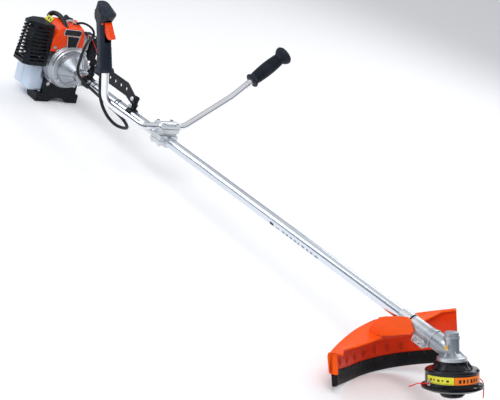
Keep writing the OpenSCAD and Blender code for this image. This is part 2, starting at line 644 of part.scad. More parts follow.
fan_front = clutch_base + 0.1;
fan_back = 114;
case_back = 170;
crank_mid = 136;
cyl_base = 39;
cyl_top = 112;
module crankcase() color([0.64, 0.66, 0.69]) difference() {
    union() {
        on_crank() translate([0, 0, fan_front]) cylinder(r1 = 64, r2 = fan_r, h = 9, $fn = 96);
        on_crank() translate([0, 0, fan_front + 8.9]) cylinder(r = fan_r, h = fan_back - fan_front - 8.9, $fn = 96);
        for (a = [45 : 90 : 315]) on_crank() rotate([0, 0, a]) translate([fan_r - 3, 0, fan_front + 9])
            cylinder(r = 8, h = fan_back - fan_front - 9);
        on_crank() translate([0, 0, fan_back - 1]) cylinder(r = 38.8, h = case_back - fan_back + 1);
        at_engine() box([-crank_mid - 26, -26, 20], [-crank_mid + 22, 26, cyl_base - 0.1]);
    }
    on_crank() {
        translate([0, 0, fan_front - 1]) cylinder(r = 60.5, h = 35);
        translate([0, 0, 100]) cylinder(r = 7 + fit, h = 25);
        translate([0, 0, crank_mid - 15]) cylinder(r = 30, h = 30);
    }
    at_engine() translate([-crank_mid, 0, 10]) cylinder(r = bore_r + 4.1, h = 60);
}
module crankshaft() color([0.55, 0.55, 0.57]) on_crank() {
    translate([0, 0, 66.5]) cylinder(r = 6, h = 40);
    translate([0, 0, 106.4]) cylinder(r = 7, h = 16.6);
    // One web, as in small half-crank engines; its pin is cut short of the rod's eye by a gap
    translate([0, 0, 122]) cylinder(r = 27, h = 9.8);
    translate([throw, 0, 131.7]) cylinder(r = 5, h = 0.4);
}
module flywheel() color([0.60, 0.61, 0.63]) on_crank() difference() {
    union() {
        translate([0, 0, 78]) cylinder(r = 20, h = 24);
        translate([0, 0, 94]) cylinder(r = 58, h = 5);
        for (a = [0 : 24 : 359]) rotate([0, 0, a]) box([30, -1.2, 80], [57, 1.2, 95]);
    }
    translate([0, 0, 60]) cylinder(r = 6, h = 60);
}
fin_pitch = 7;
module cylinder_fins() for (i = [0 : 7])
    box([-33, -40, 50 + i * fin_pitch], [21, 29, 52.2 + i * fin_pitch]);
module cylinder_block() color([0.62, 0.63, 0.65]) at_engine() translate([-crank_mid, 0, 0]) difference() {
    union() {
        translate([0, 0, cyl_base]) cylinder(r = 24, h = cyl_top - cyl_base);
        cylinder_fins();
        box([-24, -24, cyl_base], [21, 24, cyl_base + 5]);
        // Exhaust and inlet ports
        translate([0, 0, 72]) rotate([90, 0, 0]) cylinder(r = 13, h = 46);
        translate([0, 0, 68]) rotate([-90, 0, 0]) cylinder(r = 13, h = 43);
    }
    translate([0, 0, cyl_base - 1]) cylinder(r = bore_r + fit, h = 60);
    translate([0, 0, 90]) cylinder(r = 5.1, h = 40);
    translate([0, -15, 72]) rotate([90, 0, 0]) cylinder(r = 8, h = 40);
    translate([0, 15, 68]) rotate([-90, 0, 0]) cylinder(r = 8, h = 40);
}
// Piston with its rod at the top of the stroke, with the rod's lower eye in line with the crank pin
rod_len = 50;
piston_h = 22;
module piston() color([0.70, 0.70, 0.72]) at_engine() translate([-crank_mid, 0, 0]) difference() {
    union() {
        translate([0, 0, throw + rod_len - 4]) cylinder(r = bore_r, h = piston_h);
        translate([0, 0, throw]) rotate([0, 90, 0]) translate([0, 0, -3.6]) cylinder(r = 9, h = 7.2);
        box([-3.6, -4, throw + 7], [3.6, 4, throw + rod_len]);
    }
    translate([0, 0, throw]) rotate([0, 90, 0]) cylinder(r = 5 + fit, h = 30, center = true);
    difference() {
        translate([0, 0, throw + rod_len - 5]) cylinder(r = bore_r - 3, h = piston_h - 3);
        box([-3.6, -4, 0], [3.6, 4, 200]);
    }
}

plug_top = 140;
module spark_plug() color([0.9, 0.9, 0.88]) at_engine() translate([-crank_mid, 0, 0]) {
    translate([0, 0, 101]) cylinder(r = 5, h = 12);
    translate([0, 0, cyl_top + 0.1]) cylinder(r = 9, h = 8, $fn = 6);
    translate([0, 0, 120]) cylinder(r = 5, h = 14);
}
module spark_boot() color([0.06, 0.06, 0.07]) at_engine() translate([-crank_mid, 0, 0]) difference() {
    union() {
        translate([0, 0, 122]) cylinder(r = 10, h = 20);
        translate([0, 0, 134]) rotate([0, 80, 180]) cylinder(r = 7, h = 26);
    }
    translate([0, 0, 121]) cylinder(r = 5.1, h = 14);
}

cover_front = 80;
cover_back = 192;
cover_right = -78;
cover_left = 40;
// Solid of the cover, made smaller all round by g
module cover_solid(g) hull() {
    at_engine() for (y = [cover_right + g + 8, cover_left - g - 8]) {
        translate([-cover_front - g - 6, y, 44]) cylinder(r = 6, h = 1, $fn = 32);
        translate([-cover_front - g - 6, y * 0.7, 119 - g]) sphere(r = 6, $fn = 20);
        translate([-cover_front - g - 6, y, 84]) sphere(r = 6, $fn = 20);
        translate([-cover_back + g + 10, y, 44]) cylinder(r = 8, h = 1, $fn = 32);
        translate([-cover_back + g + 12, y, 112 - g]) sphere(r = 8, $fn = 20);
        translate([-cover_front - 60, y * 0.75, 129 - g]) sphere(r = 8, $fn = 20);
    }
}
module engine_cover() color([0.94, 0.26, 0.05]) difference() {
    cover_solid(0);
    cover_solid(2.5);
    at_engine() box([-cover_back - 5, -120, 30], [-60, 60, 46.5]);
    // Arched lower edges that clear the fan housing and the starter
    on_crank() cylinder(r = fan_r + 1, h = 118);
    on_crank() cylinder(r = 59, h = 230);
    for (a = [45, 315]) on_crank() rotate([0, 0, a]) translate([fan_r - 3, 0, 60]) cylinder(r = 9, h = 60);
    // Openings: spark plug boot, carburettor side, muffler side
    at_engine() translate([-crank_mid, 0, 100]) cylinder(r = 17, h = 80);
    at_engine() box([-crank_mid - 34, -20, 125], [-crank_mid, 20, 170]);
    at_engine() box([-162, 20, 30], [-110, 80, 112]);
    at_engine() box([-164, -100, 30], [-108, -60, 104]);
    // Cooling slots in the top
    for (i = [0 : 4]) at_engine() box([-184, -58 + i * 8, 105], [-160, -55 + i * 8, 190]);
}

module muffler() color([0.42, 0.40, 0.38]) at_engine() difference() {
    union() {
        translate([-146, -133, 22]) rounded_block([50, 49, 86], 8);
        translate([-crank_mid, -46.2, 72]) rotate([90, 0, 0]) cylinder(r = 14, h = 42);
        translate([-crank_mid, -46.1, 72]) rotate([90, 0, 0]) cylinder(r = 20, h = 4);
    }
    translate([-crank_mid, -40, 72]) rotate([90, 0, 0]) cylinder(r = 8, h = 50);
    translate([-120, -108, 16]) cylinder(r = 7, h = 20);
}
// Grille box over the muffler: rounded shell, slotted on its front, side, top and rear
grille_back = -162;
grille_front = -80;
grille_side = -155;
grille_in = -79;
grille_bottom = -4;
grille_top = 127;
grille_t = 3;
// Section of the grille box made smaller by g; its outer corners are cut back further at the top
function grille_section(g, cut) = [[grille_front - g, grille_in - g], [grille_front - g, grille_side + cut + g],
    [grille_front - 0.75 * cut - g, grille_side + g], [grille_back + 0.75 * cut + g, grille_side + g],
    [grille_back + g, grille_side + cut + g], [grille_back + g, grille_in - g]];
module grille_solid(g) hull() {
    translate([0, 0, grille_bottom + g]) linear_extrude(0.1) polygon(grille_section(g, 14));
    translate([0, 0, grille_top - g - 0.1]) linear_extrude(0.1) polygon(grille_section(g, 42));
}
module muffler_cover() color([0.06, 0.07, 0.09]) at_engine() difference() {
    grille_solid(0);
    grille_solid(grille_t);
    // Open towards the engine
    box([grille_back + 8, -85, 6], [grille_front - 8, -70, 120]);
    // Cooling slots on the outer side, the front and the rear
    for (i = [0 : 9]) {
        z = 8 + i * 11.4;
        box([grille_back + 14, grille_side - 5, z], [grille_front - 14, grille_side + 18, z + 6.5]);
        box([grille_front - 12, grille_side + 16, z], [grille_front + 5, grille_in - 10, z + 6]);
        box([grille_back - 5, grille_side + 20, z], [grille_back + 12, grille_in - 10, z + 6]);
    }
}

carb_y = 45;
arm_pos = [-crank_mid, carb_y + 20, 91];
module carburettor() color([0.62, 0.62, 0.60]) at_engine() difference() {
    union() {
        // Heat insulator, body, and pump covers
        translate([-crank_mid, 43.2, 68]) rotate([-90, 0, 0]) cylinder(r = 14, h = carb_y - 43);
        box([-crank_mid - 18, carb_y, 50], [-crank_mid + 18, carb_y + 35, 86]);
        box([-crank_mid - 15, carb_y + 4, 44], [-crank_mid + 15, carb_y + 31, 50.1]);
        translate([-crank_mid, carb_y + 20, 85.9]) cylinder(r = 9, h = 2);
        // Cable stop
        box([-crank_mid + 17.9, carb_y + 24, 76], [-crank_mid + 22, carb_y + 34, 101]);
    }
    translate([-crank_mid, 30, 68]) rotate([-90, 0, 0]) cylinder(r = 8, h = 60);
    translate([arm_pos[0], arm_pos[1], 74]) cylinder(r = 2.55, h = 30);
    // Recess that the primer bulb is pressed into
    translate([-crank_mid, carb_y + 17, 40]) cylinder(r = 9.5, h = 8.4);
}
module throttle_arm() color([0.75, 0.75, 0.72]) at_engine() translate(arm_pos) {
    translate([0, 0, -12]) cylinder(r = 2.5, h = 16);
    translate([0, 0, -2.6]) cylinder(r = 6, h = 3);
    box([-14, -3, -2.6], [0, 3, 0.4]);
}
filter_y = 82;
module air_filter() color([0.05, 0.06, 0.08]) at_engine() difference() {
    translate([-174, filter_y, 16]) rounded_block([66, 31, 80], 7);
    translate([-crank_mid, filter_y - 2, 68]) rotate([-90, 0, 0]) cylinder(r = 8, h = 20);
}
module choke_lever() color([0.06, 0.06, 0.07]) at_engine() translate([-107.6, 92, 78]) {
    rotate([0, 90, 0]) cylinder(r = 6, h = 3);
    box([0, -3, -3], [3, 22, 3]);
    box([0, 14, -4], [8, 22, 4]);
}
module primer_bulb() color([0.85, 0.86, 0.88]) at_engine() translate([-crank_mid, carb_y + 17, 43.6])
    rotate([180, 0, 0]) rotate_extrude() polygon([[0, 0], [9, 0], [9, 2], [8, 6], [5, 9], [0, 10]]);

starter_front = case_back + 0.2;
starter_back = 214;
module starter_housing() color([0.07, 0.08, 0.09]) on_crank() difference() {
    union() {
        translate([0, 0, starter_front]) cylinder(r = 58, h = 30, $fn = 72);
        translate([0, 0, starter_front + 30]) cylinder(r1 = 58, r2 = 46, h = starter_back - starter_front - 30, $fn = 72);
        translate([14, 44, starter_front + 8]) cylinder(r = 14, h = 22);
    }
    translate([0, 0, starter_front - 1]) cylinder(r = 54, h = 30);
    translate([0, 0, starter_front + 28]) cylinder(r1 = 54, r2 = 44, h = 9);
    for (a = [0 : 30 : 359]) rotate([0, 0, a]) box([26, -3, starter_back - 20], [40, 3, starter_back + 5]);
    // Rope exit
    translate([14, 44, starter_front + 19]) rotate([-90, 0, 0]) cylinder(r = 3, h = 20);
    translate([14, 40, starter_front + 19]) rotate([-90, 0, 0]) cylinder(r = 1.9, h = 10);
}
// Pull handle with the first length of its rope
module starter_handle() color([0.06, 0.06, 0.07]) on_crank() translate([14, 58.6, starter_front + 19]) {
    translate([0, -10, 0]) rotate([-90, 0, 0]) cylinder(r = 1.75, h = 11);
    rotate([-90, 0, 0]) cylinder(r1 = 5, r2 = 7, h = 8);
    translate([-24, 5, -6]) rounded_block([48, 12, 12], 5);
}

tank_front = 116;
tank_back = 215;
tank_right = -102;
tank_left = 58;
tank_low = -98;
tank_r = 11;
// The tank's outline across the machine, smaller by g: a low body with a taller part at the right
module tank_section(g) offset(r = tank_r - g) offset(delta = -tank_r) polygon([[tank_right, tank_low],
    [tank_left, tank_low], [tank_left, -60], [-62, -60], [-62, -14], [tank_right, -14]]);
module tank_solid(g) at_engine() translate([-tank_back + g, 0, 0]) rotate([90, 0, 90])
    linear_extrude(tank_back - tank_front - 2 * g) tank_section(g);
module fuel_tank() color([0.80, 0.84, 0.90]) difference() {
    union() {
        tank_solid(0);
        // Filler neck on the operator's left
        at_engine() translate([-166, 40, -79]) rotate([-90, 0, 0]) cylinder(r = 15, h = 26);
    }
    tank_solid(2);
    at_engine() translate([-166, 30, -79]) rotate([-90, 0, 0]) cylinder(r = 12, h = 60);
}
module tank_cap() color([0.06, 0.06, 0.07]) at_engine() translate([-166, 66.3, -79]) rotate([-90, 0, 0]) {
    cylinder(r = 19, h = 10);
    translate([0, 0, -11]) cylinder(r = 11.95, h = 11.5);
}
// Front plate that hugs the fan housing, with two feet, and a skid under each side of the tank
module engine_stand() color([0.08, 0.09, 0.11]) difference() {
    at_engine() union() {
        box([-114, -58, -150], [-98, 62, -50]);
        for (y = [-78, 60]) translate([0, y + 14, 0]) rotate([90, 0, 0]) linear_extrude(14) polygon([
            [-98, -98.3], [-98, -150], [-130, -150], [-160, -108], [-160, -98.3]]);
        box([-114, -78, -150], [-98, -57, -98.3]);
        box([-114, 61, -150], [-98, 74, -98.3]);
    }
    on_crank() cylinder(r = fan_r + 0.4, h = 200, $fn = 96);
    for (a = [45, 315]) on_crank() rotate([0, 0, 180 + a]) translate([fan_r - 3, 0, 60]) cylinder(r = 8.5, h = 60);
    // Arched underside between the feet
    at_engine() translate([-110, 2, -160]) rotate([0, 90, 0]) cylinder(r = 48, h = 60, center = true);
    ground();
}

// ---------------------------------------------------------------- drawing

at_rest() main_tube();
at_rest() shaft_bushings();
at_rest() drive_shaft();
at_rest() bearings();
at_rest() gear_case();
at_rest() gear_case_bolts();
at_rest() pinion_gear();
at_rest() crown_gear();
at_rest() output_shaft();
at_rest() head_adapter();
at_rest() head_housing();
at_rest() head_base();
at_rest() line_eyelets();
at_rest() line_spool();
at_rest() wound_line();
at_rest() feed_spring();
at_rest() bump_knob();
at_rest() trimmer_line();
at_rest() guard_bracket();
at_rest() guard_bolts();
at_rest() guard();
at_rest() guard_skirt();
at_rest() line_cutter();
at_rest() clamp_bottom();
at_rest() clamp_block();
at_rest() clamp_top();
at_rest() clamp_bolts();
at_rest() right_bar();
at_rest() left_bar();
at_rest() left_grip();
at_rest() throttle_shells();
at_rest() throttle_trigger();
at_rest() lockout_lever();
at_rest() stop_switch();
at_rest() throttle_cable();
at_rest() hanger_rail();
at_rest() hanger_clamps();
at_rest() clutch_housing();
at_rest() clutch_drum();
at_rest() clutch_shoes();
at_rest() crankcase();
at_rest() crankshaft();
at_rest() flywheel();
at_rest() cylinder_block();
at_rest() piston();
at_rest() spark_plug();
at_rest() spark_boot();
at_rest() engine_cover();
at_rest() muffler();
at_rest() muffler_cover();
at_rest() carburettor();
at_rest() throttle_arm();
at_rest() choke_lever();
at_rest() primer_bulb();
at_rest() air_filter();
at_rest() starter_housing();
at_rest() starter_handle();
at_rest() fuel_tank();
at_rest() tank_cap();
at_rest() engine_stand();
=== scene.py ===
# Looks of the string trimmer: the camera, the materials and the detailed pieces round the CAD frame.
# Places are in millimetres in the shaft's own frame, as in part.scad, and are turned into metres here.
from math import atan2, cos, pi, radians, sin

import bmesh
import bpy
from mathutils import Matrix, Vector


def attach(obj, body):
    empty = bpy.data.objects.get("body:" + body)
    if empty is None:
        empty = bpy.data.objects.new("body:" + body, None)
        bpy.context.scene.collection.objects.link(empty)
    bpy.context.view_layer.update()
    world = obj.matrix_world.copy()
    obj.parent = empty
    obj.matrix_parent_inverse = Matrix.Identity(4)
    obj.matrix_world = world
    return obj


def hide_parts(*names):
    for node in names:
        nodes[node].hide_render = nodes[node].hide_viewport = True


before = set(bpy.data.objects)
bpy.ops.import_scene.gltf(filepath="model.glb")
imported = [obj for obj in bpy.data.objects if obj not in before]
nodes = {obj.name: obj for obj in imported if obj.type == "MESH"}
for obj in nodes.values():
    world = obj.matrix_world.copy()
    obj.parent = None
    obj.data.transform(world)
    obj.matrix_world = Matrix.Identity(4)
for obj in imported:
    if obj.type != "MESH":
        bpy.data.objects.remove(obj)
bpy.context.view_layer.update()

# ---------------------------------------------------------------- frames

PITCH = 1.9248
MID = (-827.0, 60.0)
REST_H = 180.547
TILT = 27.0
GUARD_YAW = -6.0
GUARD_ROLL = 4.0
ENGINE_X = -1530.0


def turn(angle, axis):
    return Matrix.Rotation(radians(angle), 4, axis)


def move(x, y, z):
    return Matrix.Translation((x, y, z))


def axes_at(origin, along, forward=(1, 0, 0)):
    """A frame whose z axis is along, and whose x axis is nearest to forward."""
    z = Vector(along).normalized()
    y = z.cross(Vector(forward)).normalized()
    x = y.cross(z)
    m = Matrix((x, y, z)).transposed().to_4x4()
    return move(*origin) @ m


SHAFT = Matrix.Scale(0.001, 4) @ move(-MID[0], -MID[1], REST_H) @ turn(-PITCH, "Y")
HEAD = SHAFT @ turn(-TILT, "Y")
GUARD = SHAFT @ turn(GUARD_ROLL, "X") @ turn(-TILT, "Y") @ turn(180 + GUARD_YAW, "Z")
ENGINE = SHAFT @ move(ENGINE_X, 0, 0)
CRANK = ENGINE @ turn(-90, "Y")
REAR = SHAFT @ turn(-90, "Y")
THROTTLE = SHAFT @ axes_at((-1097, -227, 167), (-15, -8.7, 55.3))
LEFT_DIR = Vector((-11, 158, 134)).normalized()
LEFT = SHAFT @ axes_at(Vector((-1090, 366, 265)) - 126 * LEFT_DIR, LEFT_DIR)

# ---------------------------------------------------------------- camera

cam = bpy.data.cameras.new("camera")
cam.lens = 69.6
cam.sensor_width = 36
cam.clip_end = 100
camera = bpy.data.objects.new("camera", cam)
bpy.context.scene.collection.objects.link(camera)
# The camera's axes and place, in the shaft's own frame
tip = turn(-PITCH, "Y").to_3x3()
right = tip @ Vector((0.6130, 0.7317, 0.2981))
down = tip @ Vector((0.4531, -0.0164, -0.8913))
depth = tip @ Vector((-0.6473, 0.6815, -0.3415))
look = Matrix((right, -down, -depth)).transposed().to_4x4()
look.translation = SHAFT @ Vector((893.3, -1657.2, 835.1))
camera.matrix_world = look
bpy.context.scene.camera = camera

# ---------------------------------------------------------------- materials

PLASTIC_SPECULAR = 0.18
BUMP_DEPTH = 0.0004

made = {}


def material(name, color, rough=0.5, metal=0.0, tint=0.06, grain=900.0, bump=0.1, rough_var=0.08,
             coat=0.0, stretch=(1, 1, 1), edge=0.0, wear=None, dirt=0.0, **sockets):
    """Procedural material: colour drift, fine grain bump, roughness drift, worn or soft edges."""
    if name in made:
        return made[name]
    m = bpy.data.materials.new(name)
    m.use_nodes = True
    nt = m.node_tree
    p = nt.nodes["Principled BSDF"]
    link = nt.links.new
    co = nt.nodes.new("ShaderNodeTexCoord")
    mp = nt.nodes.new("ShaderNodeMapping")
    mp.inputs["Scale"].default_value = stretch
    link(co.outputs["Object"], mp.inputs["Vector"])

    def noise(scale, detail=3.0):
        n = nt.nodes.new("ShaderNodeTexNoise")
        n.inputs["Scale"].default_value = scale
        n.inputs["Detail"].default_value = detail
        link(mp.outputs["Vector"], n.inputs["Vector"])
        return n.outputs["Fac"]

    def spread(fac, low, high):
        r = nt.nodes.new("ShaderNodeMapRange")
        r.inputs["From Min"].default_value = 0.3
        r.inputs["From Max"].default_value = 0.7
        r.inputs["To Min"].default_value = low
        r.inputs["To Max"].default_value = high
        link(fac, r.inputs["Value"])
        return r.outputs["Result"]

    def mix(fac, a, b):
        x = nt.nodes.new("ShaderNodeMix")
        x.data_type = "RGBA"
        link(fac, x.inputs["Factor"])
        for socket, value in ((x.inputs[6], a), (x.inputs[7], b)):
            if isinstance(value, tuple):
                socket.default_value = (*value, 1)
            else:
                link(value, socket)
        return x.outputs[2]

    dark = tuple(max(0.0, v * (1 - tint * 2)) for v in color)
    light = tuple(min(1.0, v * (1 + tint) + tint * 0.02) for v in color)
    base = mix(spread(noise(18.0), 0, 1), dark, light)
    if dirt:
        spots = nt.nodes.new("ShaderNodeMapRange")
        spots.inputs["From Min"].default_value = 0.56
        spots.inputs["From Max"].default_value = 0.72
        spots.inputs["To Max"].default_value = dirt
        link(noise(60.0, 6.0), spots.inputs["Value"])
        base = mix(spots.outputs["Result"], base, tuple(v * 0.45 for v in color))
    if wear is not None:
        geo = nt.nodes.new("ShaderNodeNewGeometry")
        ramp = nt.nodes.new("ShaderNodeMapRange")
        ramp.inputs["From Min"].default_value = 0.53
        ramp.inputs["From Max"].default_value = 0.62
        ramp.inputs["To Max"].default_value = 0.8
        link(geo.outputs["Pointiness"], ramp.inputs["Value"])
        base = mix(ramp.outputs["Result"], base, wear)
    link(base, p.inputs["Base Color"])
    link(spread(noise(45.0, 5.0), rough - rough_var, rough + rough_var), p.inputs["Roughness"])
    p.inputs["Metallic"].default_value = metal
    if metal < 0.2:
        p.inputs["Specular IOR Level"].default_value = PLASTIC_SPECULAR
    if coat:
        p.inputs["Coat Weight"].default_value = coat * 0.4
        p.inputs["Coat Roughness"].default_value = 0.12
    for key, value in sockets.items():
        p.inputs[key.replace("_", " ")].default_value = value
    b = nt.nodes.new("ShaderNodeBump")
    b.inputs["Strength"].default_value = bump
    b.inputs["Distance"].default_value = BUMP_DEPTH
    link(noise(grain, 2.0), b.inputs["Height"])
    if edge:
        soft = nt.nodes.new("ShaderNodeBevel")
        soft.samples = 4
        soft.inputs["Radius"].default_value = edge
        link(soft.outputs["Normal"], b.inputs["Normal"])
    link(b.outputs["Normal"], p.inputs["Normal"])
    made[name] = m
    return m


def cast(name, color=(0.40, 0.43, 0.47), rough=0.40):
    return material(name, color, rough, 0.9, tint=0.08, grain=700, bump=0.55, rough_var=0.1,
                    edge=0.0009, wear=(0.75, 0.77, 0.79), dirt=0.35)


TUBE = material("tube_aluminium", (0.72, 0.76, 0.82), 0.24, 1.0, tint=0.03, grain=260, bump=0.05,
                rough_var=0.04, stretch=(0.05, 1, 1))
CAST = cast("cast_aluminium")
CAST_DARK = cast("cast_aluminium_dark", (0.33, 0.35, 0.37), 0.5)
STEEL = material("turned_steel", (0.52, 0.53, 0.55), 0.28, 1.0, grain=1200, bump=0.08, stretch=(1, 6, 1))
BOLT = material("zinc_plate", (0.66, 0.67, 0.69), 0.26, 1.0, tint=0.1, grain=1500, bump=0.12, edge=0.0004)
BOLT_BLACK = material("black_bolt", (0.03, 0.03, 0.035), 0.35, 0.6, grain=1500, bump=0.12, edge=0.0004)
CHROME = material("chrome", (0.86, 0.87, 0.90), 0.07, 1.0, tint=0.02, grain=80, bump=0.02, rough_var=0.03)
BRASS = material("brass", (0.78, 0.52, 0.16), 0.25, 1.0, tint=0.08, grain=900, bump=0.1)
ORANGE = material("orange_plastic", (0.88, 0.060, 0.003), 0.30, 0.0, tint=0.05, grain=1600, bump=0.08,
                  coat=0.25, edge=0.0012)
# The guard is one orange plastic in three copies: a lighter one with painted light for the roof, the ends,
# the neck and the cheek, a darker one with painted shade for the wall and the neck's sides, and the darkest
# with painted shade in the wall's dents.
GUARD_LIT = material("guard_orange_painted_light", (0.95, 0.095, 0.004), 0.34, 0.0, tint=0.04, grain=1400,
                      bump=0.10, coat=0.2)
GUARD_SHADED = material("guard_orange", (0.80, 0.040, 0.002), 0.34, 0.0, tint=0.06, grain=1400, bump=0.10,
                      coat=0.2)
GUARD_DENT_SHADE = material("guard_orange_shade", (0.56, 0.030, 0.003), 0.42, 0.0, tint=0.08, grain=1400,
                      bump=0.10)
BLACK = material("black_plastic", (0.006, 0.008, 0.012), 0.30, 0.0, tint=0.25, grain=1500, bump=0.25,
                 edge=0.0008)
BLACK_GLOSS = material("black_gloss", (0.004, 0.005, 0.008), 0.18, 0.0, tint=0.2, grain=900, bump=0.05,
                       coat=0.4, edge=0.0006)
SKIRT = material("black_skirt", (0.006, 0.006, 0.007), 0.45, 0.0, tint=0.3, grain=1100, bump=0.3, edge=0.0006)
RUBBER = material("grip_rubber", (0.010, 0.014, 0.024), 0.45, 0.0, tint=0.2, grain=2400, bump=0.45)
GRIP = material("throttle_plastic", (0.012, 0.018, 0.032), 0.36, 0.0, tint=0.2, grain=2600, bump=0.5,
                edge=0.0012)
CABLE = material("cable_sleeve", (0.010, 0.011, 0.014), 0.38, 0.0, tint=0.2, grain=500, bump=0.2)
RAIL = material("black_paint", (0.006, 0.008, 0.011), 0.30, 0.0, tint=0.2, grain=1300, bump=0.25,
                edge=0.0005)
RED = material("red_nylon", (0.75, 0.02, 0.015), 0.3, 0.0, grain=600, bump=0.1, coat=0.2)
# Muffler steel, dark of its own and darkened further as painted shade for the dark space behind the cover's
# grille.
MUFFLER = material("dark_steel_painted_shade", (0.06, 0.052, 0.046), 0.5, 0.9, tint=0.25, grain=300, bump=0.2, dirt=0.5)
FRICTION = material("sintered", (0.09, 0.08, 0.08), 0.7, 0.5, tint=0.2, grain=1500, bump=0.7)
CERAMIC = material("ceramic", (0.85, 0.84, 0.80), 0.22, 0.0, tint=0.03, grain=800, bump=0.04)
TANK = material("tank_plastic", (0.62, 0.71, 0.84), 0.34, 0.0, tint=0.01, grain=700, bump=0.03, coat=0.2,
                Subsurface_Weight=0.3, Subsurface_Scale=0.006, IOR=1.45)
CLEAR = material("clear_rubber", (0.82, 0.86, 0.90), 0.16, 0.0, tint=0.04, grain=500, bump=0.05, coat=0.3,
                 Transmission_Weight=0.55)
YELLOW = material("label_yellow", (0.72, 0.68, 0.05), 0.32, 0.0, tint=0.05, grain=1000, bump=0.04)
LABEL_ORANGE = material("label_orange", (0.90, 0.20, 0.02), 0.32, 0.0, tint=0.05, grain=1000, bump=0.04)
LABEL_DARK = material("label_dark", (0.02, 0.022, 0.026), 0.28, 0.0, tint=0.2, grain=1000, bump=0.04)
LABEL_GREY = material("label_grey", (0.24, 0.30, 0.38), 0.30, 0.2, tint=0.1, grain=1000, bump=0.04)
LABEL_SILVER = material("label_silver", (0.62, 0.64, 0.67), 0.24, 0.8, tint=0.06, grain=1000, bump=0.04)

LOOKS = {
    TUBE: "main_tube",
    CAST: "gear_case guard_bracket clamp_bottom clamp_block clamp_top clutch_housing crankcase",
    CAST_DARK: "cylinder_block carburettor throttle_arm piston flywheel",
    STEEL: "drive_shaft bearings pinion_gear crown_gear output_shaft clutch_drum crankshaft line_cutter "
           "feed_spring line_eyelets",
    BOLT: "gear_case_bolts guard_bolts clamp_bolts",
    CHROME: "right_bar left_bar",
    ORANGE: "throttle_trigger lockout_lever engine_cover",
    GUARD_SHADED: "guard",
    GRIP: "throttle_shells",
    RUBBER: "left_grip spark_boot shaft_bushings",
    CABLE: "throttle_cable",
    RED: "wound_line trimmer_line stop_switch",
    TANK: "fuel_tank",
    MUFFLER: "muffler",
    CLEAR: "primer_bulb",
    RAIL: "hanger_rail hanger_clamps engine_stand",
    FRICTION: "clutch_shoes",
    CERAMIC: "spark_plug",
    SKIRT: "guard_skirt",
    BLACK_GLOSS: "head_housing head_base bump_knob head_adapter",
}
look_of = {name: m for m, names in LOOKS.items() for name in names.split()}
for name, obj in nodes.items():
    obj.data.materials.clear()
    obj.data.materials.append(look_of.get(name, BLACK))
    for poly in obj.data.polygons:
        poly.material_index = 0
        poly.use_smooth = True
    obj.data.set_sharp_from_angle(angle=radians(32))

# ---------------------------------------------------------------- mesh helpers

counts = {}


def piece(name, bm, place, body, look, sharp=35, bevel=0.0, segments=2):
    """Make an object of the mesh, placed by the frame, and let it ride on the body."""
    counts[name] = counts.get(name, 0) + 1
    if counts[name] > 1:
        name = f"{name}_{counts[name]}"
    bmesh.ops.transform(bm, matrix=place, verts=bm.verts)
    bmesh.ops.recalc_face_normals(bm, faces=bm.faces)
    mesh = bpy.data.meshes.new(name)
    bm.to_mesh(mesh)
    bm.free()
    for poly in mesh.polygons:
        poly.use_smooth = True
    looks = look if isinstance(look, (list, tuple)) else [look]
    for m in looks:
        mesh.materials.append(m)
    obj = bpy.data.objects.new(name, mesh)
    bpy.context.scene.collection.objects.link(obj)
    if bevel:
        mod = obj.modifiers.new("bevel", "BEVEL")
        mod.width = bevel / 1000
        mod.segments = segments
        mod.limit_method = "ANGLE"
        mod.angle_limit = radians(30)
    mesh.set_sharp_from_angle(angle=radians(sharp))
    if body:
        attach(obj, body)
    return obj


def lathe(profile, sides=48, start=0.0, span=360.0):
    """Turn a [radius, height] outline about z; a full turn is closed."""
    bm = bmesh.new()
    whole = span > 359.9
    n = sides if whole else sides + 1
    rings = []
    for i in range(n):
        a = radians(start + span * i / sides)
        rings.append([bm.verts.new((r * cos(a), r * sin(a), z)) for r, z in profile])
    for i in range(sides):
        a, b = rings[i], rings[(i + 1) % n]
        for k in range(len(profile) - 1):
            bm.faces.new((a[k], b[k], b[k + 1], a[k + 1]))
    bmesh.ops.remove_doubles(bm, verts=bm.verts, dist=1e-4)
    return bm


def slab(low, high):
    """A block between two opposite corners."""
    bm = bmesh.new()
    bmesh.ops.create_cube(bm, size=1)
    for v in bm.verts:
        v.co = Vector([low[i] if v.co[i] < 0 else high[i] for i in range(3)])
    return bm


def prism(outline, height):
    """A flat outline in x and y, raised to the height."""
    bm = bmesh.new()
    low = [bm.verts.new((x, y, 0)) for x, y in outline]
    high = [bm.verts.new((x, y, height)) for x, y in outline]
    n = len(outline)
    bm.faces.new(low[::-1])
    bm.faces.new(high)
    for i in range(n):
        bm.faces.new((low[i], low[(i + 1) % n], high[(i + 1) % n], high[i]))
    return bm


def skin(bm, rings):
    """Join closed rings into a tube with two end caps; returns the faces of its side, ring by ring."""
    m = len(rings[0])
    sides = [bm.faces.new((a[k], a[(k + 1) % m], b[(k + 1) % m], b[k]))
             for a, b in zip(rings, rings[1:]) for k in range(m)]
    bm.faces.new(rings[0][::-1])
    bm.faces.new(rings[-1])
    return sides


def smooth_line(points, steps):
    """Catmull-Rom curve through the points."""
    p = [Vector(v) for v in points]
    out = []
    for i in range(len(p) - 1):
        a, b, c, d = p[max(i - 1, 0)], p[i], p[i + 1], p[min(i + 2, len(p) - 1)]
        for s in range(steps):
            t = s / steps
            out.append(0.5 * ((2 * b) + (c - a) * t + (2 * a - 5 * b + 4 * c - d) * t * t
                              + (3 * b - a - 3 * c + d) * t ** 3))
    return out + [p[-1]]


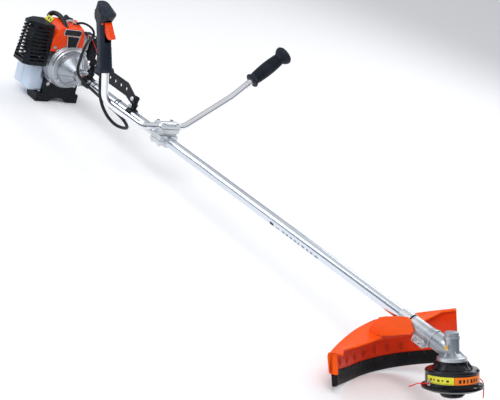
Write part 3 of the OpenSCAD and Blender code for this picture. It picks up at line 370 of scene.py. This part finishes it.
def hose(points, radius, sides=16, ridges=None):
    """Tube along the points; ridges is (pitch, height) of a corrugated sleeve."""
    bm = bmesh.new()
    n = len(points)
    side = None
    rings = []
    run = 0.0
    for i, p in enumerate(points):
        t = (points[min(i + 1, n - 1)] - points[max(i - 1, 0)]).normalized()
        if side is None:
            side = t.cross(Vector((0.3, 0.9, 0.2))).normalized()
        side = (side - side.dot(t) * t).normalized()
        other = t.cross(side)
        if i:
            run += (p - points[i - 1]).length
        r = radius
        if ridges:
            r += ridges[1] * (0.5 + 0.5 * cos(2 * pi * run / ridges[0])) - ridges[1]
        around = [2 * pi * k / sides for k in range(sides)]
        rings.append([bm.verts.new(p + r * (cos(a) * side + sin(a) * other)) for a in around])
    skin(bm, rings)
    return bm


def even(points, step):
    """The same line with points at an even step."""
    out = [points[0]]
    left = step
    for a, b in zip(points, points[1:]):
        length = (b - a).length
        at = left
        while at < length:
            out.append(a + (b - a) * (at / length))
            at += step
        left = at - length
    return out + [points[-1]]


def socket_screw(name, place, r, h, body):
    """Cap-head screw with a hexagon socket on its washer, standing along z on its seat."""
    outline = [(0.0, h * 0.45), (r * 0.5, h * 0.45), (r * 0.52, h), (r * 0.85, h), (r, h * 0.86), (r, 0.0)]
    bm = lathe(outline, 24)
    for v in bm.verts:
        q = Vector((v.co.x, v.co.y))
        if 0 < q.length < r * 0.55:
            a = atan2(q.y, q.x) % (pi / 3) - pi / 6
            q = q.normalized() * r * 0.5 / max(cos(a), 0.1) * 0.9
            v.co.x, v.co.y = q
    piece(name, bm, place, body, BOLT)
    piece(name + "_washer", lathe([(0, 0), (r * 1.5, 0), (r * 1.5, 0.9), (0, 0.9)], 24),
          place @ move(0, 0, -0.4), body, BOLT)


def cross_screw(name, place, r, body, look=BOLT):
    """Round-head screw; its cross recess is drawn as two black bars, painted shade in the recess."""
    outline = [(r, 0), (r * 0.97, r * 0.25), (r * 0.75, r * 0.5), (r * 0.35, r * 0.62), (0.0, r * 0.62)]
    piece(name, lathe(outline, 24), place, body, look)
    # Black bars in place of the recess: painted shade.
    for a in (0, 90):
        piece(name + "_slot", slab((-r * 0.55, -r * 0.11, r * 0.45), (r * 0.55, r * 0.11, r * 0.66)),
              place @ turn(a, "Z"), body, BOLT_BLACK)


# ---------------------------------------------------------------- guard

GUARD_R = 237.0
ROOF_EDGE = 166.0
ROOF_TOP = 41
CREASE = -3.0
WALL_FOOT = -52
SKIRT_FOOT = -76
SWING_FROM = 20
DENT_PITCH = 9
FIRST = -50.0
LAST = 48.0


def roof_z(a):
    """Height of the roof's outer edge at angle a."""
    return ROOF_TOP - 0.7 * a if a > 0 else ROOF_TOP + 0.0036 * a * a


def wall(a):
    """Radius of the wall, height of its foot and of the skirt's foot at angle a."""
    swing = max(0.0, a - SWING_FROM) ** 2
    return GUARD_R + 0.02 * swing, WALL_FOOT + 0.0165 * swing, SKIRT_FOOT + 0.011 * swing


def roof_line(a):
    """Radius and height of the roof's inner edge, and height of the wall's crease, at angle a."""
    z = roof_z(a)
    ri = min(GUARD_R - 14, ROOF_EDGE / cos(radians(a)))
    return ri, z - 0.25 * (wall(a)[0] - 5 - ri), min(CREASE, z - 12)


def guard_ring(a):
    """The guard's outline at angle a as [radius, height], with rounded corners."""
    z = roof_z(a)
    r, low, _ = wall(a)
    ri, zi, zc = roof_line(a)
    flare = 0.0
    if a > LAST - 1:
        flare = 3 * (a - LAST + 1)
    elif a < FIRST + 4:
        flare = 5 * min(1.0, (FIRST + 4 - a) / 2)
    return [(ri, zi), (ri + 2, zi + 1.2), (r - 9, z - 0.8), (r - 5, z), (r - 1.5 + flare, z - 1.4),
            (r + flare, z - 4), (r - 2 + flare, zc + 0.62 * (z - 4 - zc)),
            (r - 6 + flare, zc + 1.5), (r - 5.4 + flare, zc - 0.5), (r - 3 + flare, zc - 3),
            (r - 2.6 + flare, (zc + low) / 2), (r - 2 + flare, low), (r - 5, low), (r - 5.3, low + 6)]


def dent_depth(a, h):
    """How far inside one of the wall's oval dents a place is, from 0 at its edge to 1."""
    r, low, _ = wall(a)
    nearest = DENT_PITCH * round((a - 1) / DENT_PITCH) + 1
    if abs(nearest) > 40:
        return 0.0
    return 1 - ((a - nearest) * radians(1) * r / 6.4) ** 2 - ((h - low - 25) / 11.5) ** 2


def guard_inside(a):
    """The inner side of the wall and the underside of the roof, from the foot up."""
    z = roof_z(a)
    r, low, _ = wall(a)
    ri, zi, zc = roof_line(a)
    out = []
    for k in range(15):
        h = low + 6.5 + (zc - 4 - low - 6.5) * k / 14
        out.append((r - 5.5 - 0.4 * k / 14 + 1.5 * max(0.0, dent_depth(a, h)) ** 0.7, h))
    return out + [(r - 9, zc), (r - 8, z - 6), (r - 10, z - 4.5), (ri, zi - 3)]


def make_guard():
    """Roof and ends in the painted-light orange, the wall in the painted-shade orange, and deeper painted
    shade in the dents on the wall's inner side.
    """
    bm = bmesh.new()
    steps = 260
    rings = []
    outer = len(guard_ring(0))
    for i in range(steps + 1):
        a = FIRST + (LAST - FIRST) * i / steps
        section = guard_ring(a) + guard_inside(a)
        rings.append([bm.verts.new((r * cos(radians(a)), r * sin(radians(a)), z)) for r, z in section])
    m = len(rings[0])
    for n, f in enumerate(skin(bm, rings)):
        i, k = divmod(n, m)
        a = FIRST + (LAST - FIRST) * (i + 0.5) / steps
        # Slots: painted light on the roof and ends, painted shade on the wall, deeper painted shade in the
        # dents.
        f.material_index = 0 if k < 4 or k >= m - 2 or a > LAST - 2 else 1
        middle = sum(v.co.z for v in f.verts) / 4
        if outer - 1 <= k < outer + 14 and dent_depth(a, middle) > 0.15:
            f.material_index = 2
    return bm


guard = piece("guard_shell", make_guard(), GUARD, "machine", [GUARD_LIT, GUARD_SHADED, GUARD_DENT_SHADE], sharp=50)
neck_outline = [(118, 39), (118, 42), (150, 42), (196, 34), (196, 30), (170, 24), (150, 38.6)]
neck = piece("guard_neck", prism(neck_outline, 36), GUARD @ move(0, 18, 0) @ turn(90, "X"), "machine",
             GUARD_LIT, bevel=1.2)
for y in (18, -15):
    piece("guard_neck_side", prism([(150, 38), (168, 24), (196, 30), (196, 34), (150, 42)], 3),
          GUARD @ move(0, y + 3, 0) @ turn(90, "X"), "machine", GUARD_SHADED, bevel=0.8)
cheek = [(-190, -72), (-196, -62), (-181, -27), (-167, -16), (-135, 4), (-114, 15), (-106, 13),
         (-99, 6), (-88, -4), (-92, -14), (-106, -24), (-139, -49), (-174, -70)]
piece("guard_cheek", prism(cheek, 3), SHAFT @ move(0, -19.4, 0) @ turn(90, "X"), "machine", GUARD_LIT,
      bevel=1.2)

# Flange across the wall's end at the operator's right, with the skirt's flap under it
near, low, foot = wall(LAST)
high = roof_z(LAST)
flange = [(near + 4, high - 7), (near + 1, high - 2), (near - 14, high - 1), (near - 17, high - 7),
          (near - 17, low - 2), (near - 11, low - 3), (near + 3, low + 2)]
piece("guard_end", prism(flange, 3), GUARD @ turn(LAST, "Z") @ turn(90, "X"), "machine", GUARD_LIT,
      bevel=1.2)
flap = [(near - 2, low + 1), (near - 15, low + 1), (near - 15, foot + 3), (near - 11, foot),
        (near - 4, foot), (near - 2, foot + 2)]
piece("skirt_end", prism(flap, 3), GUARD @ turn(LAST - 1, "Z") @ turn(90, "X"), "machine", SKIRT, bevel=0.8)
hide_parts("guard")
for i in range(-4, 5):
    a = DENT_PITCH * i + 5.5
    r, low, _ = wall(a)
    cross_screw("skirt_screw", GUARD @ turn(a, "Z") @ move(r - 7.9, 0, low + 3.8) @ turn(-90, "Y"), 2.6,
                "machine", BOLT_BLACK)


def make_skirt():
    """A strip behind the wall's foot, with shallow grooves, flattened where it rests on the floor."""
    bm = bmesh.new()
    rings = []
    steps = 200
    for i in range(steps + 1):
        degrees = FIRST + 1 + (LAST - FIRST - 2) * i / steps
        r, low, foot = wall(degrees)
        a = radians(degrees)
        groove = 0.5 if i % 10 == 0 else 0.0
        section = [(r - 7.9, low + 8), (r - 5.6, low + 8), (r - 5.6, low - 0.3), (r - 0.8, low - 0.4),
                   (r - 0.1 - groove, low - 1.4), (r - 1.0 - groove, low - 12), (r - 2, foot + 0.6),
                   (r - 2.8, foot), (r - 4.4, foot), (r - 5.1, foot + 0.8), (r - 5.1 + groove, low - 14),
                   (r - 5.1 + groove, low - 4), (r - 7.9, low - 3)]
        ring = []
        for r, z in section:
            v = Vector((r * cos(a), r * sin(a), z))
            above = (GUARD @ v).z
            if above < 0.0:
                v.z -= above * 1000 / cos(radians(TILT + PITCH))
            ring.append(bm.verts.new(v))
        rings.append(ring)
    skin(bm, rings)
    return bm


skirt = piece("skirt_strip", make_skirt(), GUARD, "machine", SKIRT, sharp=45)
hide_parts("guard_skirt")

# ---------------------------------------------------------------- line head

# The labels start from the side of the head that the camera is on
cam_head = HEAD.inverted() @ camera.matrix_world.translation
cam_turn = atan2(cam_head.y, cam_head.x) * 180 / pi
HEAD_LABEL = (55.35, -59.0, -43.5)
MARK_R = 55.6


def band(r, z0, z1, start, span, look, name):
    """A label or a mark on the side of the line head."""
    piece(name, lathe([(r - 0.6, z0), (r, z0 + 0.2), (r, z1 - 0.2), (r - 0.6, z1)], 60, start, span), HEAD,
          "cutting_head", look)


band(*HEAD_LABEL, cam_turn - 63, 67, YELLOW, "head_label_yellow")
band(*HEAD_LABEL, cam_turn + 5, 88, LABEL_ORANGE, "head_label_orange")
band(*HEAD_LABEL, cam_turn + 93, 175, YELLOW, "head_label_rear")
for k in range(6):
    band(MARK_R, -55.5, -48.0, cam_turn + 14 + 9 * k, 5.2 - (k % 3), LABEL_DARK, "head_mark")
for k in range(5):
    band(MARK_R, -53.5 + (k % 2), -49.0, cam_turn - 52 + 10 * k, 5.5 - (k % 2) * 2, LABEL_DARK, "head_mark")
band(MARK_R, -57.6, -56.9, cam_turn - 60, 60, LABEL_DARK, "head_mark")
rim = [(52, -33.2), (54.4, -34.6), (55.9, -36.6), (55.9, -39.4), (55.2, -40.4), (55.0, -42.6)]
piece("head_rim", lathe(rim, 96), HEAD, "cutting_head", BLACK_GLOSS)
flared = [(55.0, -60.0), (55.7, -60.8), (55.7, -62.4), (56.6, -65.6), (60.5, -67.3)]
piece("head_foot", lathe(flared, 96), HEAD, "cutting_head", BLACK_GLOSS)
for k in range(24):
    piece("base_rib", slab((57.5, -0.8, -67.6), (62.6, 0.8, -66.2)), HEAD @ turn(15 * k + 4, "Z"),
          "cutting_head", BLACK, bevel=0.4)
for k in range(10):
    piece("collar_rib", prism([(33.4, -19.2), (36, -23.6), (42.6, -32.8), (32, -32.8), (32, -19.2)], 2),
          HEAD @ turn(36 * k, "Z") @ move(0, 1, 0) @ turn(90, "X"), "cutting_head", BLACK, bevel=0.4)
for k in range(12):
    piece("knob_rib", slab((23.6, -1.3, -89), (25.5, 1.3, -79)), HEAD @ turn(30 * k, "Z"), "bump", BLACK,
          bevel=0.6)
boss = [(0, -94.6), (7, -94.6), (8, -93.9), (11, -93.9), (12, -94.4), (14, -94.2), (14, -93)]
piece("knob_boss", lathe(boss, 40), HEAD, "bump", BLACK)

# ---------------------------------------------------------------- gear case and shaft

piece("grease_plug", lathe([(0, 1.6), (2.2, 1.6), (3.2, 1.0), (3.2, 0), (5.2, 0), (5.2, -0.8)], 24),
      HEAD @ move(0, -20.4, 10) @ turn(90, "X"), "machine", BRASS)
for x, r in ((46.5, 21.55), (24, 20.25), (63.5, 18.3), (108, 18.4)):
    seam = [(r - 0.5, -1.0), (r, -0.7), (r, 0.7), (r - 0.5, 1.0)]
    piece("case_seam", lathe(seam, 48), REAR @ move(0, 0, x), "machine", CAST_DARK)
piece("case_top_ring", lathe([(14.6, 26.4), (16.9, 26.9), (16.9, 28.1), (14.6, 28.6)], 48), HEAD, "machine",
      STEEL)
piece("shield_ring", lathe([(14.2, 0), (17.2, 0.6), (17.2, 4.6), (14.2, 5.2)], 40), REAR @ move(0, 0, 110.4),
      "machine", BLACK)
for k in range(6):
    piece("case_rib", prism([(16, -7.6), (26.2, -7.9), (16, 3)], 2.2),
          HEAD @ turn(60 * k + 30, "Z") @ move(0, 1.1, 0) @ turn(90, "X"), "machine", CAST, bevel=0.5)

# Generic decal marks along the tube: short bars, with no lettering
TUBE_MARKS = [
    (-410, 12, 5, LABEL_GREY), (-428, 9, 6, LABEL_GREY), (-442, 7, 6, LABEL_GREY), (-458, 10, 6, LABEL_GREY),
    (-474, 5, 4, LABEL_DARK), (-486, 9, 6, LABEL_GREY), (-502, 8, 6, LABEL_GREY), (-516, 6, 5, LABEL_DARK),
    (-530, 9, 6, LABEL_GREY), (-552, 12, 3, LABEL_GREY), (-575, 14, 8, LABEL_DARK)]
for x, length, wide, look in TUBE_MARKS:
    bm = lathe([(14.0, -length / 2), (14.12, -length / 2), (14.12, length / 2), (14.0, length / 2)], 8,
               -62 - wide * 2, wide * 4)
    piece("tube_mark", bm, SHAFT @ move(x, 0, 0) @ turn(90, "Y"), "machine", look)

# ---------------------------------------------------------------- handlebars and grips

profile = [(0, -0.4), (19, -0.4), (21.4, 0.6), (22.2, 2.2), (22, 4), (19.6, 7.4), (17.4, 12)]
for k in range(22):
    z = 16 + 4.2 * k
    base = 17.2 + 3.2 * max(0.0, sin(radians(180 * (k + 1) / 24))) ** 0.8
    profile += [(base - 1.0, z), (base + 0.3, z + 0.9), (base + 0.3, z + 2.7), (base - 1.0, z + 3.6)]
profile += [(17.6, 110), (18.4, 115), (23.5, 121), (27.2, 127), (28.2, 130.5), (28.0, 134), (25.6, 137.2),
            (20, 138), (18, 136.6), (8, 136.6), (7, 137.4), (0, 137.4)]
grip = piece("left_grip_rubber", lathe(profile, 72), LEFT, "machine", RUBBER, sharp=60)
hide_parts("left_grip")
# Strips of foil tape beside the grip and the clamp
for z0, z1 in ((-20, -13), (-28, -25)):
    piece("bar_band", lathe([(9.4, z0), (9.75, z0 + 0.3), (9.75, z1 - 0.3), (9.4, z1)], 40), LEFT, "machine",
          LABEL_SILVER)

# Moulded details of the throttle grip
for z in range(18, 66, 6):
    for s in (-1, 1):
        piece("grip_rib", slab((-14, s * 15.6 - 0.9, z), (8, s * 15.6 + 0.9, z + 2.4)), THROTTLE, "machine",
              GRIP, bevel=0.7)
for x, z, s in ((-14, 46, -1), (2, 158, -1), (22, 140, -1), (-14, 14, -1), (-14, 46, 1), (2, 158, 1)):
    y = 17.4 if z < 60 else (16.6 if z > 150 else 20.2)
    cross_screw("grip_screw", THROTTLE @ move(x, s * (y - 0.6), z) @ turn(-90 * s, "X"), 3.0, "machine",
                BOLT_BLACK)
piece("grip_panel", prism([(-12, 136), (18, 138), (20, 150), (8, 162), (-10, 160)], 1.1),
      THROTTLE @ move(0, -20.2, 0) @ turn(90, "X"), "machine", BLACK_GLOSS, bevel=0.5)
for k in range(3):
    piece("switch_rib", slab((-3 + 2.2 * k, 24.0, 144.5), (-2 + 2.2 * k, 24.8, 151.5)), THROTTLE, "stop", RED,
          bevel=0.25, segments=1)

# Throttle cable: a corrugated sleeve along the CAD route, with ties on the shaft
ROUTE = [(-1117, -228, 170), (-1115, -227, 161), (-1115, -224, 142), (-1116, -217, 116),
         (-1117, -208, 91), (-1117, -196, 69), (-1116, -180, 48), (-1115, -160, 29), (-1117, -134, 13),
         (-1125, -106, 3), (-1143, -78, -5), (-1172, -56, -10), (-1212, -40, -11), (-1260, -31, -10),
         (-1310, -28, -8), (-1360, -27, -4), (-1410, -27, 0), (-1460, -27, 4), (-1496, -27, 10),
         (-1520, -24, 24), (-1536, -14, 44), (-1548, -4, 66), (-1562, 10, 86), (-1584, 32, 99),
         (-1606, 55, 101), (-1622, 69, 96), (-1634, 74, 94), (-1643.6, 74, 94)]
line = even(smooth_line(ROUTE, 6), 1.3)
cable = piece("throttle_sleeve", hose(line, 4.6, 16, (5.2, 0.4)), SHAFT, "machine", CABLE, sharp=70)
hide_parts("throttle_cable")
for x, y, z in ((-1305, -28, -8), (-1445, -27, 3)):
    tie = [(18.8, -2.2), (19.6, -2.2), (19.6, 2.2), (18.8, 2.2), (18.8, -2.2)]
    piece("cable_tie", lathe(tie, 40, 150, 130), SHAFT @ move(x, -4, z * 0.4) @ turn(90, "Y"), "machine",
          BLACK)
    clip = [(4.6, -4), (5.8, -4), (5.8, 4), (4.6, 4), (4.6, -4)]
    piece("cable_clip", lathe(clip, 24), SHAFT @ move(x, y, z) @ turn(90, "Y"), "machine", BLACK)

# Harness rail bolts
for x in (-1240, -1486):
    for s in (-1, 1):
        for z in (47, 26):
            socket_screw("rail_bolt", SHAFT @ move(x, s * 11, z) @ turn(-90 * s, "X"), 4.3, 4.5, "machine")

# ---------------------------------------------------------------- engine

for k in range(4):
    a = 45 + 90 * k
    socket_screw("housing_bolt", CRANK @ turn(a, "Z") @ move(54, 0, 59.8) @ turn(180, "X"), 4.4, 5, "machine")
rib = [(22, 12.5), (25.2, 15.4), (43.4, 37.8), (49.4, 44.2), (52.2, 51), (52, 56), (44, 50), (30, 30)]
for k in range(8):
    place = CRANK @ turn(45 * k + 22.5, "Z") @ move(0, 1.3, 0) @ turn(90, "X") @ move(0.4, -0.4, 0)
    piece("housing_rib", prism(rib, 2.0), place, "machine", CAST, bevel=0.6)
socket_screw("nose_bolt", SHAFT @ move(-1531, -9, -21) @ turn(90, "X"), 4.0, 4.5, "machine")
for y in (-9, 5):
    piece("nose_lug", slab((-1540, y, -29), (-1520, y + 8, -12)), SHAFT, "machine", CAST, bevel=1.5)
for k in range(4):
    a = 45 + 90 * k
    cross_screw("fan_screw", CRANK @ turn(a, "Z") @ move(69, 0, 80.9) @ turn(180, "X"), 3.6, "machine")
for r, z in ((69.9, 92), (70.2, 104)):
    piece("fan_groove", lathe([(r - 0.6, -1), (r + 0.5, -0.4), (r + 0.5, 0.4), (r - 0.6, 1)], 96), CRANK
          @ move(0, 0, z), "machine", CAST_DARK)

# Cover: badge plate, yellow label, screws and the black plug door in its front
plate = [(-27, -9), (27, -9), (29, -6), (29, 7), (26, 9), (-26, 9), (-29, 6), (-29, -7)]
door = [(-21, 18), (21, 18), (15, -15), (11, -18), (-11, -18), (-15, -15)]
FRONT = ENGINE @ move(-79.0, -10, 0)


def on_front(y, z, x=0.0, lean=0.0):
    """A place on the engine cover's front, with z pointing out of it."""
    return FRONT @ move(x, y, z) @ turn(lean, "Y") @ turn(90, "Z") @ turn(90, "X")


label = SHAFT @ axes_at((-1675, -64, 128), (0.22, -0.78, 0.60), (-1, 0, 0))
sticker = [(-13, -9), (13, -9), (14, -8), (14, 8), (13, 9), (-13, 9), (-14, 8), (-14, -8)]
piece("cover_label", prism(sticker, 0.8), label @ move(0, 0, 2.2), "machine", YELLOW, bevel=0.2)
piece("cover_label_mark", prism([(-4.5, -4), (0, 5), (4.5, -4)], 0.4), label @ move(3, 0, 2.9), "machine",
      LABEL_DARK)
piece("cover_label_mark", slab((-10, -3, 2.9), (-5, 3, 3.3)), label, "machine", LABEL_DARK)
piece("badge_rim", prism([(x * 1.06, y * 1.16) for x, y in plate], 1.2), on_front(-3, 112, 0.0, 6), "machine",
      LABEL_SILVER, bevel=0.4)
piece("badge", prism(plate, 1.5), on_front(-3, 112, 0.1, 6), "machine", LABEL_DARK, bevel=0.3)
piece("plug_door_rim", prism([(x * 1.1, y * 1.08) for x, y in door], 1.6), on_front(3, 81), "machine",
      LABEL_SILVER, bevel=0.5)
piece("plug_door", prism(door, 2.6), on_front(3, 81), "machine", BLACK, bevel=0.9)
for k in range(3):
    y = 7 - 7 * k
    piece("door_rib", slab((-12, y - 1, 2.5), (12, y + 1, 3.4)), on_front(3, 81), "machine", BLACK, bevel=0.4)
for y, z in ((-54, 60), (36, 62)):
    socket_screw("cover_screw", on_front(y, z, 0.2), 3.8, 3.6, "machine")

# Breather, fuel and return hoses, the strap over the cover and the ground wire
HOSES = (
    ("breather_hose", 3.6, BLACK_GLOSS, [(-1640, -6, 122), (-1640, 12, 134), (-1640, 34, 138),
                                         (-1640, 60, 131), (-1641, 80, 116), (-1644, 88, 97)]),
    ("top_strap", 7.5, BLACK_GLOSS, [(-1698, -56, 128), (-1699, -50, 140), (-1690, -40, 145),
                                     (-1668, -34, 143), (-1640, -33, 134), (-1618, -34, 121)]),
    ("fuel_hose", 2.6, CLEAR, [(-1640, 30, -62), (-1640, 42, -30), (-1648, 50, 6), (-1652, 54, 30),
                               (-1656, 58, 44)]),
    ("return_hose", 2.6, BLACK_GLOSS, [(-1664, 36, -62), (-1668, 60, -20), (-1668, 70, 20),
                                       (-1668, 70, 44)]),
    ("clear_hose", 3.4, CLEAR, [(-1646, -30, 130), (-1642, -14, 141), (-1640, 4, 136), (-1640, 12, 124)]),
    ("ground_wire", 1.1, RED, [(-1622, 42, 104), (-1616, 60, 100), (-1612, 78, 78), (-1613, 90, 60),
                               (-1616, 100, 36), (-1620, 70, 10)]),
)
for name, r, look, points in HOSES:
    piece(name, hose(smooth_line(points, 8), r, 14), SHAFT, "machine", look, sharp=70)
for y, z in ((-6, 122), (88, 97)):
    piece("hose_clamp", lathe([(3.6, -2.5), (4.7, -2.2), (4.7, 2.2), (3.6, 2.5)], 28),
          SHAFT @ move(-1640, y, z), "machine", BOLT)

# Air filter cover: knob and ribs
piece("filter_knob", lathe([(9, 0), (9, 5), (8, 6.5), (4, 7), (0, 7)], 8), ENGINE @ move(-141, 112.6, 60)
      @ turn(-90, "X"), "machine", BLACK, bevel=0.7)
for k in range(5):
    piece("filter_rib", slab((-168, 111.8, 28 + 12 * k), (-114, 114.2, 31 + 12 * k)), ENGINE, "machine",
          BLACK, bevel=0.7)
for k in range(6):
    piece("filter_slot_rib", slab((-108.6, 86 + 4.4 * k, 26), (-107.0, 88 + 4.4 * k, 70)), ENGINE, "machine",
          BLACK, bevel=0.4)

# Starter: screws and raised hub
for k in range(4):
    a = 45 + 90 * k
    cross_screw("starter_screw", CRANK @ turn(a, "Z") @ move(52.5, 0, 206.8), 3.0, "machine", BOLT)
piece("starter_hub", lathe([(20, 0), (20, 2.0), (18, 3.2), (6, 3.2), (5, 2.2), (0, 2.2)], 48),
      CRANK @ move(0, 0, 213.6), "machine", ORANGE)

# Tank: moulding seam, cap grips
side = [(-102, -98), (58, -98), (58, -60), (-48, -60), (-62, -50), (-62, -14), (-102, -14)]
tank = piece("tank_shell", prism(side, 99), ENGINE @ move(-215, 0, 0) @ turn(90, "Z") @ turn(90, "X"),
             "machine", TANK, bevel=12, segments=6, sharp=80)
tank.modifiers["bevel"].harden_normals = True
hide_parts("fuel_tank")
piece("tank_neck", lathe([(12, 0), (15, 0), (15, 22), (14.4, 26), (12, 26)], 40), ENGINE @ move(-166, 40, -79)
      @ turn(-90, "X"), "machine", TANK)
seam_line = [Vector(v) for v in ((-165.5, -102.3, -22), (-165.5, -102.3, -90), (-165.5, -94, -98.2),
                                 (-165.5, 50, -98.2), (-165.5, 58.3, -90), (-165.5, 58.3, -68))]
piece("tank_seam", hose(even(seam_line, 4), 0.9, 8), ENGINE, "machine", TANK)
for k in range(18):
    place = ENGINE @ move(-166, 66.3, -79) @ turn(-90, "X") @ turn(20 * k, "Z")
    piece("cap_grip", slab((18.4, -1.2, 0.8), (19.9, 1.2, 9.4)), place, "cap", BLACK, bevel=0.5, segments=1)
for y in (-46, 50):
    socket_screw("stand_bolt", ENGINE @ move(-98.2, y, -66) @ turn(90, "Y"), 4.2, 4.6, "machine")

# ---------------------------------------------------------------- floor and light

bm = bmesh.new()
bmesh.ops.create_grid(bm, x_segments=1, y_segments=1, size=40)
floor_look = material("floor_paint", (0.93, 0.93, 0.94), 0.75, 0.0, tint=0.004, grain=40, bump=0.0)
floor = piece("floor", bm, move(0, 0, -0.0005), None, floor_look)

WORLD_STRENGTH = 0.75

world = bpy.data.worlds.new("studio")
bpy.context.scene.world = world
world.use_nodes = True
wn = world.node_tree
sky = wn.nodes.new("ShaderNodeTexCoord")
split = wn.nodes.new("ShaderNodeSeparateXYZ")
ramp = wn.nodes.new("ShaderNodeValToRGB")
wn.links.new(sky.outputs["Generated"], split.inputs[0])
wn.links.new(split.outputs["Z"], ramp.inputs[0])
ramp.color_ramp.elements[0].position = 0.0
ramp.color_ramp.elements[0].color = (0.50, 0.56, 0.66, 1)
ramp.color_ramp.elements[1].position = 1.0
ramp.color_ramp.elements[1].color = (1.0, 1.0, 1.0, 1)
for at, shade in ((0.05, (0.30, 0.35, 0.44)), (0.12, (0.05, 0.06, 0.09)), (0.30, (0.08, 0.10, 0.14)),
                  (0.42, (0.80, 0.84, 0.90))):
    ramp.color_ramp.elements.new(at).color = (*shade, 1)
wn.links.new(ramp.outputs[0], wn.nodes["Background"].inputs[0])
wn.nodes["Background"].inputs[1].default_value = WORLD_STRENGTH


LIGHT_AIM = Vector((0.1, 0, 0.2))


def area(name, place, size, power, tint=(1, 1, 1)):
    """A rectangular soft light that faces the machine."""
    light = bpy.data.lights.new(name, "AREA")
    light.shape = "RECTANGLE"
    light.size, light.size_y = size
    light.energy = power
    light.color = tint
    o = bpy.data.objects.new(name, light)
    bpy.context.scene.collection.objects.link(o)
    o.location = place
    o.rotation_euler = (LIGHT_AIM - Vector(place)).to_track_quat("-Z", "Y").to_euler()


area("key", (1.2, -2.2, 3.2), (2.4, 2.0), 74)
area("fill", (-2.6, -2.0, 2.0), (2.0, 2.0), 30, (0.93, 0.96, 1.0))
area("back", (-0.6, 3.0, 2.4), (3.0, 1.4), 44)
bpy.context.scene.view_settings.view_transform = "Standard"
